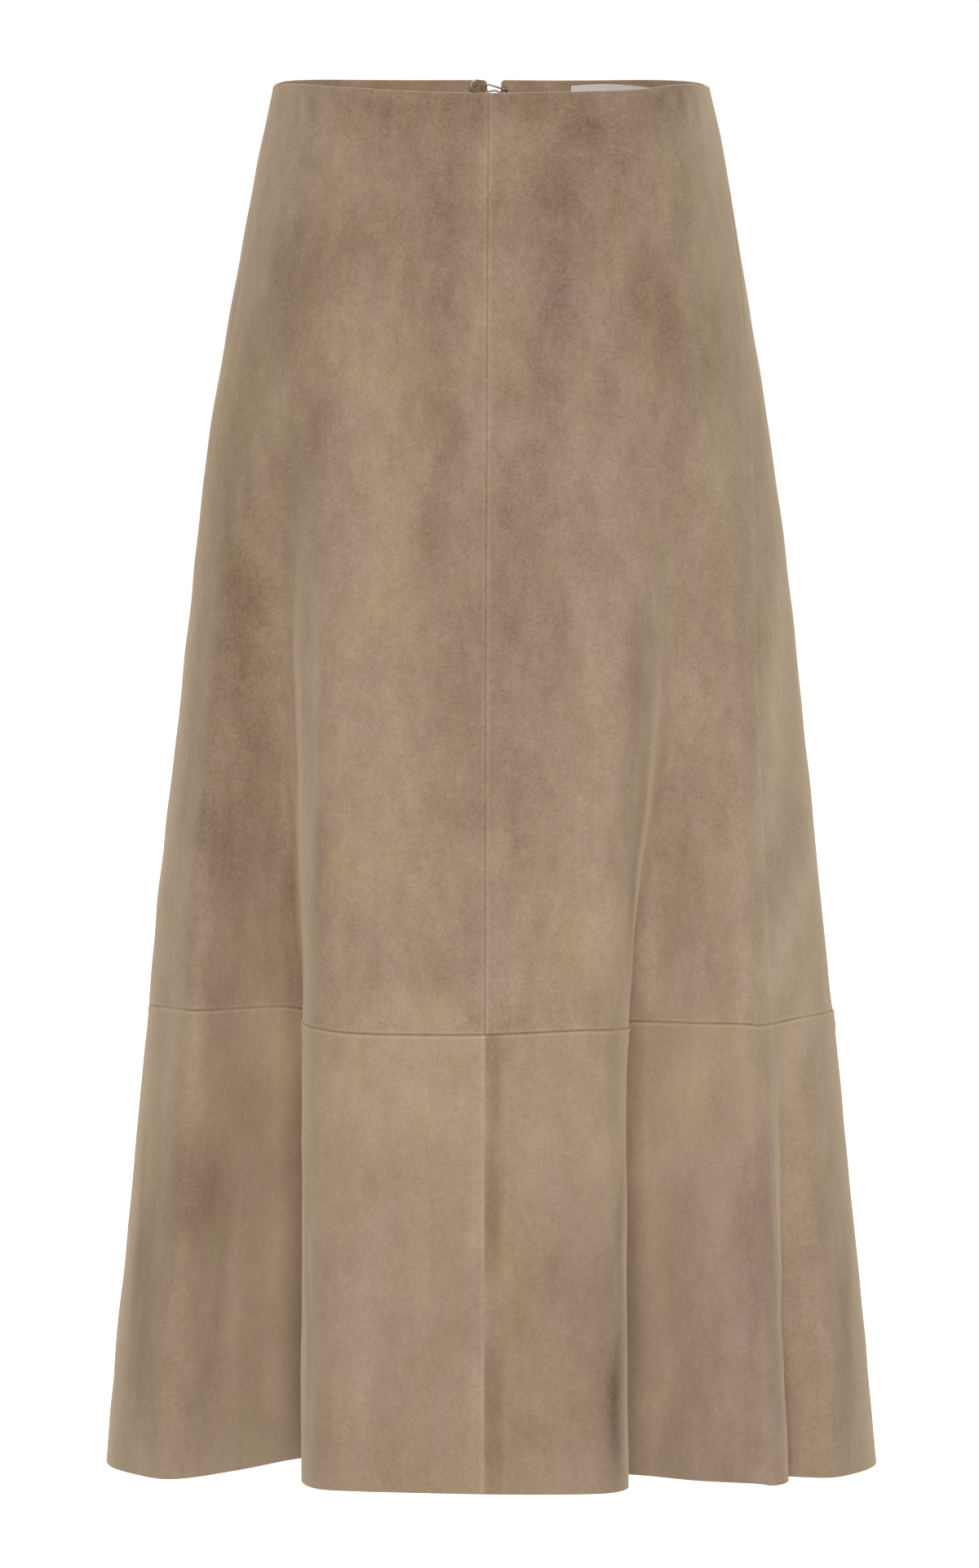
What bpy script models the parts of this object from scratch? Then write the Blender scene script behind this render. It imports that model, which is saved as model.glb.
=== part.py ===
# A gored midi skirt in suede, filled out as if worn, with nobody in it.
# Metres, +Z up. The origin is the middle of the waist opening and the front faces -Y,
# so the wearer's right is at -X. A "turn" is an angle round the skirt, in degrees:
# 0 centre back, 90 right side, 180 centre front, 270 left side.

import bmesh
import bpy
import numpy as np
from collections import namedtuple
from math import radians
from mathutils import Matrix, Vector

mm = 0.001

# Driving sizes of the cloth
wall = 1.2 * mm                 # suede, modelled on the outer side of the inner face
seam_gap = 0.3 * mm             # between two panels where they are sewn
roundness = 2.0                 # exponent of the plan's outline, 2 is an ellipse
hip_depth = 242 * mm
seam_depth = 555 * mm           # the horizontal seam, below the waist
hem_depth = 826 * mm

# Closure at the centre back. Depths are measured down from the waist edge there.
opening_width = 8.5 * mm        # between the two edges at the waist
opening_depth = 36 * mm         # where the edges meet
lining_gap = 0.8 * mm           # between the cloth's curve and what is sewn on its inner face
layer_gap = 0.3 * mm            # between two layers of it

zip_top = 13 * mm
zip_length = 190 * mm
tape_from_seam = 1.3 * mm
tape_width = 12 * mm
tape_thickness = 1.0 * mm
chain_top = 25 * mm
chain_width = 5 * mm
chain_thickness = 1.5 * mm

slider_depth = 19 * mm
slider_size = (7.2 * mm, 2.8 * mm, 11 * mm)
arch_width = 1.4 * mm
arch_height = 7 * mm
arch_reach = 4.6 * mm           # out from the inner face of the cloth
slot_size = (1.9 * mm, 4.4 * mm)
pull_axis_out = 2.95 * mm
pull_width = 5.2 * mm
pull_length = 25 * mm
pull_thickness = 1.0 * mm
pull_hole = (2.4 * mm, 3.9 * mm)
pull_bar = 0.5 * mm             # from the hinge axis to either side of its bar

patch_radius = 4.8 * mm
patch_thickness = 1.0 * mm
patch_place = (9.5 * mm, 4.0 * mm)      # to the wearer's right, and down
base_radius = 4.4 * mm
base_thickness = 0.9 * mm
base_place = (10.8 * mm, 4.0 * mm)
hook_wire = 0.9 * mm
eye_wire = 0.8 * mm
# Middle lines of the two bent wires in mm: to the wearer's left, out of the skirt and up,
# from the centre back of the waist edge
hook_route = (
    (-5.9, -1.25, -2.1), (-4.4, -1.25, -2.9), (-2.5, -1.3, -3.0), (0.6, -1.6, -3.9),
    (3.8, -2.25, -4.9), (6.3, -2.65, -5.7), (7.5, -2.2, -6.3), (7.7, -2.0, -6.8),
    (7.0, -2.4, -7.3), (5.6, -2.65, -7.6), (4.1, -2.3, -7.5), (2.2, -1.9, -6.8),
    (-0.3, -1.5, -6.5), (-2.8, -1.3, -6.9), (-4.5, -1.25, -7.5), (-5.9, -1.25, -7.6),
)
eye_route = (
    (6.2, -1.15, -3.9), (6.2, -1.45, -4.4), (6.2, -1.45, -8.7), (6.2, -1.15, -9.2),
)

label_start = 48 * mm           # to the wearer's left of the centre back
label_width = 60 * mm
label_height = 24 * mm
label_thickness = 1.0 * mm
label_columns = 9
beside_reach = 12               # stations on either side of the centre back that it spans
# Top edge of the label: how far along it and how far under the waist edge, in mm
label_edge_along = (0, 22, 50, 60)
label_edge_depth = (3.3, 2.4, 4.5, 5.6)

# Plain rings: how wide and deep the skirt is at each level, outside the cloth, in mm
Section = namedtuple("Section", "drop half_width front back")
sections = (
    Section(0, 130, 92, 92),
    Section(66, 143.5, 99, 100),
    Section(154, 158.5, 107, 109),
    Section(242, 171.5, 113, 116),
    Section(330, 182, 118, 121),
    Section(440, 193.5, 122.5, 126),
    Section(555, 205.5, 126, 129),
    Section(826, 232, 130, 133),
)

# Levels: how far below the origin the waist edge, the horizontal seam and the hem lie, in mm,
# by the turn at the waist
Level = namedtuple("Level", "turn waist seam hem")
levels = (
    Level(0, -8.9, 551, 826),
    Level(31, -8.1, 551, 825.5),
    Level(61, -6.0, 551.5, 825),
    Level(75, -3.8, 552, 825),
    Level(86, -1.5, 552, 825.5),
    Level(99, -0.3, 551, 825.8),
    Level(103, 0.0, 549, 825),
    Level(111, 0.6, 550.3, 825.8),
    Level(119, 1.7, 551.9, 824.2),
    Level(127.5, 3.5, 556, 825.5),
    Level(133, 4.6, 557.7, 826.5),
    Level(158, 8.6, 558.5, 826.5),
    Level(179, 10.2, 558.5, 827),
    Level(195, 9.0, 555.4, 827.4),
    Level(217, 6.0, 556.2, 827.4),
    Level(227, 3.4, 556.8, 827.8),
    Level(234, 1.7, 556.6, 828.2),
    Level(248, 0.2, 555.4, 826.5),
    Level(270, -0.4, 556.4, 826.6),
    Level(283, -2.6, 553.4, 825.8),
    Level(294, -4.8, 553, 826),
    Level(309, -6.8, 552, 826),
    Level(335, -8.1, 551.5, 826),
    Level(360, -8.9, 551, 826),
)

# Seams that run straight down a plain stretch: their turn at the waist, the hip, the
# horizontal seam and the hem
Seam = namedtuple("Seam", "name waist hip seam hem")
seams = (
    Seam("centre_back", -0.9, -0.6, -0.3, 0),
    Seam("right_side", 99, 93, 90, 88),
    Seam("centre_front", 179.4, 179.1, 179, 179),
)

# Folds. One side of the cloth overlies the other: over is 1 where that side has the greater
# turn and -1 where it has the smaller. step is how far the floor of the fold lies behind the
# crest at the hem, tuck how far the floor runs under it and lobe how far the cloth takes to
# climb out again. start and full are the drops where the fold begins and is complete.
Fold = namedtuple("Fold", "name waist hip seam hem over step tuck lobe proud start full")
folds = (
    Fold("back_right", 31, 28, 25, 23, -1, 76, 4, 30, 0, 240, 640),
    Fold("back_side", 71, 68, 65, 63, -1, 26, 1, 15, 2, 430, 800),
    Fold("front_right", 130, 138, 147.4, 151.6, 1, 112, 3, 27, 0, 180, 700),
    Fold("front_left", 224, 213.5, 203, 200.2, -1, 86, 6, 24, 0, 200, 700),
    Fold("left_side", 271, 244, 233, 229, -1, 30, 1, 12, 3, 480, 820),
    Fold("back_left", 321, 326, 331, 333, 1, 88, 5, 27, 0, 210, 660),
)

# The section through a fold, from the overlying cloth to the underlying. rest is the place
# along the ring before the fold forms and out the place once it has, both in shares of the
# lobe; under is the share of the tuck, back the share of the step.
Profile = namedtuple("Profile", "name rest out under back")
fold_profile = (
    Profile("shoulder", -0.30, -0.30, 0.00, 0.00),
    Profile("lip", -0.10, -0.10, 0.00, 0.05),
    Profile("edge", 0.00, 0.00, 0.00, 0.27),
    Profile("return", 0.10, 0.00, 0.40, 0.52),
    Profile("turn", 0.20, 0.00, 1.00, 0.88),
    Profile("floor", 0.30, 0.00, 0.45, 1.00),
    Profile("foot", 0.42, 0.10, 0.00, 0.88),
    Profile("rise", 0.70, 0.50, 0.00, 0.44),
    Profile("crest", 1.00, 1.00, 0.00, 0.00),
)

# The skirt is cut in four gores, each of an upper and a lower panel
Gore = namedtuple("Gore", "name start end")
gores = (
    Gore("back_right", "centre_back", "right_side"),
    Gore("front_right", "right_side", "centre_front"),
    Gore("front_left", "centre_front", "left_side.edge"),
    Gore("back_left", "left_side.edge", "centre_back"),
)

widest_plain_stretch = 16       # degrees at the hem between two stations
longest_column_step = 30 * mm   # between two columns of a panel at the hem
upper_rows = (0, 0.015, 0.035, 0.064, 0.12, 0.21, 0.31, 0.41, 0.51, 0.61, 0.71, 0.81, 0.905, 1)
lower_rows = (0, 0.16, 0.33, 0.50, 0.67, 0.83, 1)


def smooth_step(share):
    share = np.clip(share, 0, 1)
    return share * share * (3 - 2 * share)


def through(knots, values, at):
    # A smooth curve through a column of a table
    knots = np.asarray(knots, float)
    values = np.asarray(values, float)
    slopes = np.gradient(values, knots)
    i = np.clip(np.searchsorted(knots, at) - 1, 0, len(knots) - 2)
    span = knots[i + 1] - knots[i]
    s = (at - knots[i]) / span
    return ((1 + 2 * s) * (1 - s) ** 2 * values[i] + s * (1 - s) ** 2 * span * slopes[i]
            + s * s * (3 - 2 * s) * values[i + 1] + s * s * (s - 1) * span * slopes[i + 1])


def column(table, name):
    return [getattr(row, name) for row in table]


# A station is a line that runs down the skirt. shift holds its turn beside the fold's own
# line before and after the fold forms.
Station = namedtuple("Station", "name waist hip seam hem rest folded back proud start full")


def plain_station(name, waist, hip, seam, hem):
    return Station(name, waist, hip, seam, hem, 0, 0, 0, 0, 0, 1)


def fold_stations(fold):
    for row in fold_profile:
        rest = -fold.over * row.rest * fold.lobe
        folded = -fold.over * (row.out * fold.lobe - row.under * fold.tuck)
        proud = fold.proud * mm if row.rest <= 0 else 0
        yield Station(fold.name + "." + row.name, fold.waist, fold.hip, fold.seam, fold.hem,
                      rest, folded, row.back * fold.step * mm, proud,
                      fold.start * mm, fold.full * mm)


def make_stations():
    found = [plain_station(*seam) for seam in seams]
    for fold in folds:
        found.extend(fold_stations(fold))
    found.sort(key=lambda station: station.waist + station.rest)
    filled = []
    first = found[0]
    following = found[1:] + [first._replace(waist=first.waist + 360, hip=first.hip + 360,
                                            seam=first.seam + 360, hem=first.hem + 360)]
    for here, there in zip(found, following):
        filled.append(here)
        width = (there.hem + there.folded) - (here.hem + here.folded)
        extra = int(width // widest_plain_stretch)
        for k in range(1, extra + 1):
            share = k / (extra + 1)
            ends = [(1 - share) * a + share * b for a, b in (
                (here.waist + here.rest, there.waist + there.rest),
                (here.hip + here.rest, there.hip + there.rest),
                (here.seam + here.folded, there.seam + there.folded),
                (here.hem + here.folded, there.hem + there.folded))]
            filled.append(plain_station(here.name + ".plain%d" % k, *ends))
    return filled


stations = make_stations()
names = [station.name for station in stations]


def plain_ring(turn, drop):
    # Inner face of the cloth on the plain ring, before any fold
    width = through(column(sections, "drop"), column(sections, "half_width"), drop / mm) * mm - wall
    front = through(column(sections, "drop"), column(sections, "front"), drop / mm) * mm - wall
    back = through(column(sections, "drop"), column(sections, "back"), drop / mm) * mm - wall
    across, ahead = np.sin(np.radians(turn)), np.cos(np.radians(turn))
    depth = np.where(ahead < 0, front, back)
    power = 2 / roundness
    return (-width * np.sign(across) * np.abs(across) ** power,
            depth * np.sign(ahead) * np.abs(ahead) ** power)


def station_points(tier, share):
    # Where every station is at a share of the way down the upper (0) or lower (1) tier
    points = []
    for station in stations:
        place = (station.waist + station.rest) % 360
        waist, seam, hem = (through(column(levels, "turn"), column(levels, name), place) * mm
                            for name in ("waist", "seam", "hem"))
        top, bottom = (waist, seam) if tier == 0 else (seam, hem)
        drop = top + (bottom - top) * share
        grown = smooth_step((drop - station.start) / (station.full - station.start))
        line = through([0, hip_depth, seam_depth, hem_depth],
                       [station.waist, station.hip, station.seam, station.hem], drop)
        turn = line + station.rest + (station.folded - station.rest) * grown ** 2
        x, y = plain_ring(turn, drop)
        y -= np.sign(y) * (station.back - station.proud) * grown
        points.append((x, y, -drop))
    return np.array(points, float)


def ring(tier, share):
    # The closed curve through the stations: returns a function of the station number,
    # with fractions between stations
    knots = station_points(tier, share)
    count = len(knots)
    after = np.roll(knots, -1, axis=0)
    span = np.sqrt(np.linalg.norm(after - knots, axis=1))
    slope = (after - knots) / span[:, None]
    before_span = np.roll(span, 1)
    before_slope = np.roll(slope, 1, axis=0)
    tangent = ((slope * before_span[:, None] + before_slope * span[:, None])
               / (span + before_span)[:, None])

    def at(number):
        number = np.asarray(number, float)
        whole = np.floor(number).astype(int)
        s = (number - whole)[..., None]
        i = whole % count
        k = (i + 1) % count
        h = span[i][..., None]
        return ((1 + 2 * s) * (1 - s) ** 2 * knots[i] + s * (1 - s) ** 2 * h * tangent[i]
                + s * s * (3 - 2 * s) * knots[k] + s * s * (s - 1) * h * tangent[k])
    return at


def panel_columns(gore):
    # Station numbers of a panel's columns, closer where the cloth is folded
    first, last = names.index(gore.start), names.index(gore.end)
    if last <= first:
        last += len(stations)
    hem = ring(1, 1)
    numbers = []
    for whole in range(first, last):
        length = np.linalg.norm(hem(whole + 1) - hem(whole))
        steps = max(1, int(np.ceil(length / longest_column_step)))
        numbers.extend(whole + k / steps for k in range(steps))
    return numbers + [last]


def half_opening(depth):
    # Half the distance between the two edges of the centre back
    return seam_gap / 2 + (opening_width - seam_gap) / 2 * (1 - smooth_step(depth / opening_depth))


def pulled_in(edge, inner, distance):
    # Edge points drawn back along the cloth by a distance
    along = inner - edge
    return edge + along / np.linalg.norm(along, axis=-1, keepdims=True) * distance


def panel_grid(gore, tier):
    numbers = panel_columns(gore)
    rows = upper_rows if tier == 0 else lower_rows
    grid = np.array([ring(tier, share)(numbers) for share in rows])
    at_back = (gore.start == "centre_back", gore.end == "centre_back")
    depth = grid[0, 0, 2] - grid[:, 0, 2] if at_back[0] else grid[0, -1, 2] - grid[:, -1, 2]
    gaps = []
    for is_back in at_back:
        wide = half_opening(depth) if is_back and tier == 0 else np.full(len(rows), seam_gap / 2)
        gaps.append(wide[:, None])
    first = pulled_in(grid[:, 0], grid[:, 1], gaps[0])
    last = pulled_in(grid[:, -1], grid[:, -2], gaps[1])
    grid[:, 0], grid[:, -1] = first, last
    if tier == 0:
        grid[-1] = pulled_in(grid[-1], grid[-2], seam_gap / 2)
    else:
        grid[0] = pulled_in(grid[0], grid[1], seam_gap / 2)
    return grid


def beside_centre_back(along, tier, share):
    # The point a signed distance from the centre back seam, measured along the cloth,
    # positive to the wearer's right
    numbers = np.linspace(-beside_reach, beside_reach, 200 * beside_reach + 1)
    points = ring(tier, share)(numbers)
    length = np.concatenate([[0], np.cumsum(np.linalg.norm(np.diff(points, axis=0), axis=1))])
    length -= length[100 * beside_reach]
    return np.array([np.interp(along, length, points[:, axis]) for axis in range(3)]).T


def back_frame(along, depth):
    # Place and directions on the inner face of the back: x along the cloth to the wearer's
    # left, y out of the skirt, z up
    share = share_at(depth)
    here = beside_centre_back(along, 0, share)
    left = Vector(beside_centre_back(along - 2 * mm, 0, share) - here).normalized()
    up = Vector(beside_centre_back(along, 0, share - 0.004) - here).normalized()
    out = up.cross(left).normalized()
    up = left.cross(out)
    return Matrix.Translation(here) @ Matrix((left, out, up)).transposed().to_4x4()


def share_at(depth):
    # Share of the upper tier that lies a depth below the waist edge at the centre back
    top = -levels[0].waist * mm
    bottom = -levels[0].seam * mm
    return depth / (top - bottom)


def lining_grid(alongs, depths, gap):
    # Points a gap inside the inner face of the back, in rows from the top down
    grid = []
    for row in depths:
        row = np.broadcast_to(row, len(alongs))
        grid.append([back_frame(along, depth) @ Vector((0, -gap, 0))
                     for along, depth in zip(alongs, row)])
    return np.array(grid)


def material(name, colour, roughness, metallic=0.0):
    made = bpy.data.materials.new(name)
    made.use_nodes = True
    shader = made.node_tree.nodes["Principled BSDF"]
    shader.inputs["Base Color"].default_value = (*colour, 1)
    shader.inputs["Roughness"].default_value = roughness
    shader.inputs["Metallic"].default_value = metallic
    made.diffuse_color = (*colour, 1)
    return made


def add_object(name, data, look, frame=None):
    made = bpy.data.objects.new(name, data)
    made.matrix_world = frame or Matrix.Identity(4)
    parts.objects.link(made)
    data.materials.append(look)
    return made


def add_cutter(name, data, frame):
    made = bpy.data.objects.new(name, data)
    made.matrix_world = frame
    made.display_type = "WIRE"
    made.hide_render = True
    cutters.objects.link(made)
    return made


def combine(made, other, operation):
    joint = made.modifiers.new(other.name, "BOOLEAN")
    joint.object = other
    joint.operation = operation


def block_mesh(name, low, high):
    # A box between two corners
    work = bmesh.new()
    size = [b - a for a, b in zip(low, high)]
    middle = [(a + b) / 2 for a, b in zip(low, high)]
    bmesh.ops.create_cube(work, size=1, matrix=Matrix.Translation(middle)
                          @ Matrix.Diagonal((*size, 1)))
    mesh = bpy.data.meshes.new(name)
    work.to_mesh(mesh)
    work.free()
    return mesh


def disc_mesh(name, radius, outer, thickness):
    # A disc across the y axis, from its outer face inward
    work = bmesh.new()
    middle = Matrix.Translation((0, outer - thickness / 2, 0))
    bmesh.ops.create_cone(work, cap_ends=True, segments=32, radius1=radius, radius2=radius,
                          depth=thickness, matrix=middle @ Matrix.Rotation(radians(90), 4, "X"))
    mesh = bpy.data.meshes.new(name)
    work.to_mesh(mesh)
    work.free()
    return mesh


def wire_curve(name, route, diameter):
    curve = bpy.data.curves.new(name, "CURVE")
    curve.dimensions = "3D"
    curve.bevel_depth = diameter / 2
    curve.bevel_resolution = 2
    curve.use_fill_caps = True
    line = curve.splines.new("POLY")
    line.points.add(len(route) - 1)
    for point, place in zip(line.points, route):
        point.co = (*(Vector(place) * mm), 1)
    return curve


def sheet_mesh(name, grid):
    # An open sheet over a grid of points
    mesh = bpy.data.meshes.new(name)
    rows, columns = grid.shape[:2]
    work = bmesh.new()
    corners = [[work.verts.new(point) for point in row] for row in grid]
    for r in range(rows - 1):
        for c in range(columns - 1):
            work.faces.new((corners[r][c], corners[r + 1][c], corners[r + 1][c + 1],
                            corners[r][c + 1]))
    work.to_mesh(mesh)
    work.free()
    mesh.shade_smooth()
    return mesh


def thicken(made, thickness, side):
    shell = made.modifiers.new("wall", "SOLIDIFY")
    shell.thickness = thickness
    shell.offset = side


outside = 1
inside = -1


def make_panels():
    suede = material("suede", (0.33, 0.24, 0.165), 0.9)
    for gore in gores:
        for tier, tier_name in enumerate(("upper", "lower")):
            side, hand = gore.name.split("_")
            name = "%s_%s_%s" % (side, tier_name, hand)
            made = add_object(name, sheet_mesh(name, panel_grid(gore, tier)), suede)
            thicken(made, wall, outside)


def depths_between(top, bottom):
    # Depths of a strip's rows, at the same levels as the panel it lies on
    rows = [share / share_at(1) for share in upper_rows]
    return [top] + [depth for depth in rows if top < depth < bottom] + [bottom]


def make_label():
    place = np.linspace(0, label_width, label_columns)
    top = through(label_edge_along, label_edge_depth, place / mm) * mm
    depths = [top + share * label_height for share in (0, 0.5, 1)]
    grid = lining_grid(-label_start - place, depths, lining_gap)[:, ::-1]
    made = add_object("label", sheet_mesh("label", grid),
                      material("woven_label", (0.58, 0.52, 0.44), 0.7))
    thicken(made, label_thickness, inside)


def make_zip():
    woven = material("zip_tape", (0.30, 0.22, 0.16), 0.85)
    coil = material("zip_coil", (0.33, 0.24, 0.17), 0.5)
    metal = material("zip_metal", (0.45, 0.36, 0.26), 0.35, 1.0)
    depths = depths_between(zip_top, zip_top + zip_length)
    for hand, sign in (("right", 1), ("left", -1)):
        alongs = np.array([tape_from_seam, tape_from_seam + tape_width]) * sign
        grid = lining_grid(np.sort(alongs), depths, lining_gap)
        made = add_object("zip_tape_" + hand, sheet_mesh("zip_tape_" + hand, grid), woven)
        thicken(made, tape_thickness, inside)
    depths = depths_between(chain_top, zip_top + zip_length)
    chain_gap = lining_gap + tape_thickness + layer_gap
    grid = lining_grid(np.array([-0.5, 0, 0.5]) * chain_width, depths, chain_gap)
    made = add_object("zip_chain", sheet_mesh("zip_chain", grid), coil)
    thicken(made, chain_thickness, inside)
    make_slider(metal, chain_gap)
    make_pull(metal)


def make_slider(metal, chain_gap):
    frame = back_frame(0, slider_depth)
    width, reach, height = slider_size
    inner = -chain_gap - reach
    slider = add_object("zip_slider", block_mesh("zip_slider", (-width / 2, inner, -height / 2),
                                                 (width / 2, -chain_gap, height / 2)), metal, frame)
    half = arch_width / 2
    arch = add_cutter("slider_arch", block_mesh("slider_arch", (-half, inner / 2, -arch_height / 2),
                                                (half, arch_reach, arch_height / 2)), frame)
    slot_out, slot_up = slot_size
    slot = add_cutter("slider_slot", block_mesh(
        "slider_slot", (-width, pull_axis_out - slot_out / 2, -slot_up / 2),
        (width, pull_axis_out + slot_out / 2, slot_up / 2)), frame)
    combine(slider, arch, "UNION")
    combine(slider, slot, "DIFFERENCE")


def make_pull(metal):
    # The pull's own origin is on its hinge axis
    hinge = back_frame(0, slider_depth) @ Matrix.Translation((0, pull_axis_out, 0))
    half = pull_thickness / 2
    pull = add_object("zip_pull", block_mesh("zip_pull", (-pull_width / 2, -half, -pull_length),
                                             (pull_width / 2, half, pull_bar)), metal, hinge)
    hole_width, hole_length = pull_hole
    hole = add_cutter("pull_hole", block_mesh(
        "pull_hole", (-hole_width / 2, -pull_width, -pull_bar - hole_length),
        (hole_width / 2, pull_width, -pull_bar)), hinge)
    combine(pull, hole, "DIFFERENCE")


def make_hook():
    metal = material("hook_metal", (0.55, 0.50, 0.45), 0.25, 1.0)
    suede = material("patch_suede", (0.25, 0.17, 0.11), 0.9)
    base_out = -lining_gap
    patch_out = base_out - base_thickness - layer_gap
    add_object("hook_base", disc_mesh("hook_base", base_radius, base_out, base_thickness),
               metal, back_frame(*base_place))
    add_object("hook_patch", disc_mesh("hook_patch", patch_radius, patch_out, patch_thickness),
               suede, back_frame(*patch_place))
    waist_edge = back_frame(0, 0)
    add_object("hook", wire_curve("hook", hook_route, hook_wire), metal, waist_edge)
    add_object("eye_bar", wire_curve("eye_bar", eye_route, eye_wire), metal, waist_edge)


def new_collection(name):
    made = bpy.data.collections.new(name)
    bpy.context.scene.collection.children.link(made)
    return made


for old in list(bpy.data.objects):
    bpy.data.objects.remove(old, do_unlink=True)
parts = new_collection("circle_skirt")
cutters = new_collection("cutters")
make_panels()
make_label()
make_zip()
make_hook()
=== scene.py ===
# Suede midi skirt, filled out with nobody in it. Metres, +Z up, front to -Y, wearer's right at -X.
# The cloth's form comes from rings worked out from the tables below. A turn is an angle round the
# skirt in degrees: 0 centre back, 90 right side, 180 centre front, 270 left side.
from collections import namedtuple
from math import cos, pi, radians, sin, tan

import bmesh
import bpy
import numpy as np
from mathutils import Matrix, Vector


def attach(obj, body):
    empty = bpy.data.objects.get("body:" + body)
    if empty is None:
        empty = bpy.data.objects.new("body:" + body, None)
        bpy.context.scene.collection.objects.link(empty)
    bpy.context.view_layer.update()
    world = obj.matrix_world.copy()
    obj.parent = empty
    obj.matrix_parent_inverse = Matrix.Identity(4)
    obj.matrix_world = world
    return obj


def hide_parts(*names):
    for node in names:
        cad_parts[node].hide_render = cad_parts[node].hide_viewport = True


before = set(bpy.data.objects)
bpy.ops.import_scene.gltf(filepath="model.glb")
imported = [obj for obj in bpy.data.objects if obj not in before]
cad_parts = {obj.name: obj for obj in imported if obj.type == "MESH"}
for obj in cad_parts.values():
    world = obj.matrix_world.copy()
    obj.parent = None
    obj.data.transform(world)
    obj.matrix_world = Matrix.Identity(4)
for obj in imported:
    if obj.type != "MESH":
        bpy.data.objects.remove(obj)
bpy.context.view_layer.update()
mm = 0.001

cloth = {
    "wall": 1.2 * mm,               # garment suede
    "hipDepth": 242 * mm,           # levels at which the seams and folds are placed
    "seamDepth": 555 * mm,
    "hemDepth": 826 * mm,
    "plainStretch": 16,             # widest gap between stations, in degrees at the hem
}

Section = namedtuple("Section", "drop halfWidth front back")
sections = [Section(*row) for row in (      # plain rings outside the cloth, in mm
    (0, 130, 92, 92),
    (66, 143.5, 99, 100),
    (154, 158.5, 107, 109),
    (242, 171.5, 113, 116),
    (330, 182, 118, 121),
    (440, 193.5, 122.5, 126),
    (555, 205.5, 126, 129),
    (826, 232, 130, 133),
)]

Level = namedtuple("Level", "turn waist seam hem")
levels = [Level(*row) for row in (      # how far below the origin each edge lies, in mm
    (0, -8.9, 551, 826),
    (31, -8.1, 551, 825.5),
    (61, -6.0, 551.5, 825),
    (75, -3.8, 552, 825),
    (86, -1.0, 552, 825.5),
    (99, 1.1, 551, 825.8),
    (103, 1.2, 549, 826.2),
    (111, 1.2, 549.4, 825.9),
    (119, 2.0, 549.0, 824.4),
    (127.5, 3.5, 552.4, 823.2),
    (133, 4.6, 554.8, 826.3),
    (140, 5.7, 557.7, 826.4),
    (158, 8.6, 558.7, 826.5),
    (179, 10.2, 558.5, 827),
    (195, 9.0, 555.4, 827.4),
    (217, 7.4, 556.2, 827.4),
    (227, 5.4, 556.8, 827.8),
    (234, 3.4, 556.6, 828.2),
    (248, 1.5, 555.4, 826.5),
    (270, 1.0, 556.4, 827.1),
    (283, -2.6, 553.4, 826.8),
    (294, -4.8, 553, 826),
    (309, -6.8, 552, 826),
    (335, -8.1, 551.5, 826),
    (360, -8.9, 551, 826),
)]

Seam = namedtuple("Seam", "name waist hip seam hem")
seams = [Seam(*row) for row in (        # turns of the upright seams at four levels
    ("centreBack", -0.9, -0.6, -0.3, 0),
    ("rightSide", 99, 93, 90, 88),
    ("centreFront", 179.4, 179.1, 179, 179),
)]

Fold = namedtuple("Fold", "name waist hip seam hem over step tuck lobe proud start full")
folds = [Fold(*row) for row in (        # over is 1 where the cloth with the greater turn lies on top
    ("backRight", 31, 28, 25, 23, -1, 76, 4, 30, 0, 240, 640),
    ("backSide", 71, 68, 65, 63, -1, 26, 1, 15, 2, 430, 800),
    ("frontRight", 134, 143.5, 147.8, 151.6, 1, 112, 3, 27, 0, 170, 690),
    ("frontLeft", 224, 213.5, 203, 200.2, -1, 86, 6, 24, 0, 200, 700),
    ("leftSide", 271, 244, 233, 229, -1, 30, 1, 12, 3, 480, 820),
    ("backLeft", 321, 326, 331, 333, 1, 88, 5, 27, 0, 210, 660),
)]

Profile = namedtuple("Profile", "name rest out under back")
foldProfile = [Profile(*row) for row in (   # the section through a fold, in shares of its lobe, tuck and step
    ("shoulder", -0.30, -0.30, 0.00, 0.00),
    ("lip", -0.10, -0.10, 0.00, 0.05),
    ("edge", 0.00, 0.00, 0.00, 0.27),
    ("return", 0.10, 0.00, 0.40, 0.52),
    ("turn", 0.20, 0.00, 1.00, 0.88),
    ("floor", 0.30, 0.00, 0.45, 1.00),
    ("foot", 0.42, 0.10, 0.00, 0.88),
    ("rise", 0.70, 0.50, 0.00, 0.44),
    ("crest", 1.00, 1.00, 0.00, 0.00),
)]

Gore = namedtuple("Gore", "side hand start end")
gores = [Gore(*row) for row in (
    ("back", "right", "centreBack", "rightSide"),
    ("front", "right", "rightSide", "centreFront"),
    ("front", "left", "centreFront", "leftSide.edge"),
    ("back", "left", "leftSide.edge", "centreBack"),
)]


def smoothStep(share):
    share = np.clip(share, 0, 1)
    return share * share * (3 - 2 * share)


def cubic(s, span, start, startSlope, end, endSlope):
    # from one value and slope to the next, over a span
    return ((1 + 2 * s) * (1 - s) ** 2 * start + s * (1 - s) ** 2 * span * startSlope
            + s * s * (3 - 2 * s) * end + s * s * (s - 1) * span * endSlope)


def through(knots, values, at):
    # a smooth curve through a column of a table
    knots, values = np.asarray(knots, float), np.asarray(values, float)
    slopes = np.gradient(values, knots)
    i = np.clip(np.searchsorted(knots, at) - 1, 0, len(knots) - 2)
    span = knots[i + 1] - knots[i]
    return cubic((at - knots[i]) / span, span, values[i], slopes[i], values[i + 1], slopes[i + 1])


def column(table, name):
    return [getattr(row, name) for row in table]


Station = namedtuple("Station", "name waist hip seam hem rest folded back proud start full")


def plainStation(name, waist, hip, seam, hem):
    return Station(name, waist, hip, seam, hem, 0, 0, 0, 0, 0, 1)


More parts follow.
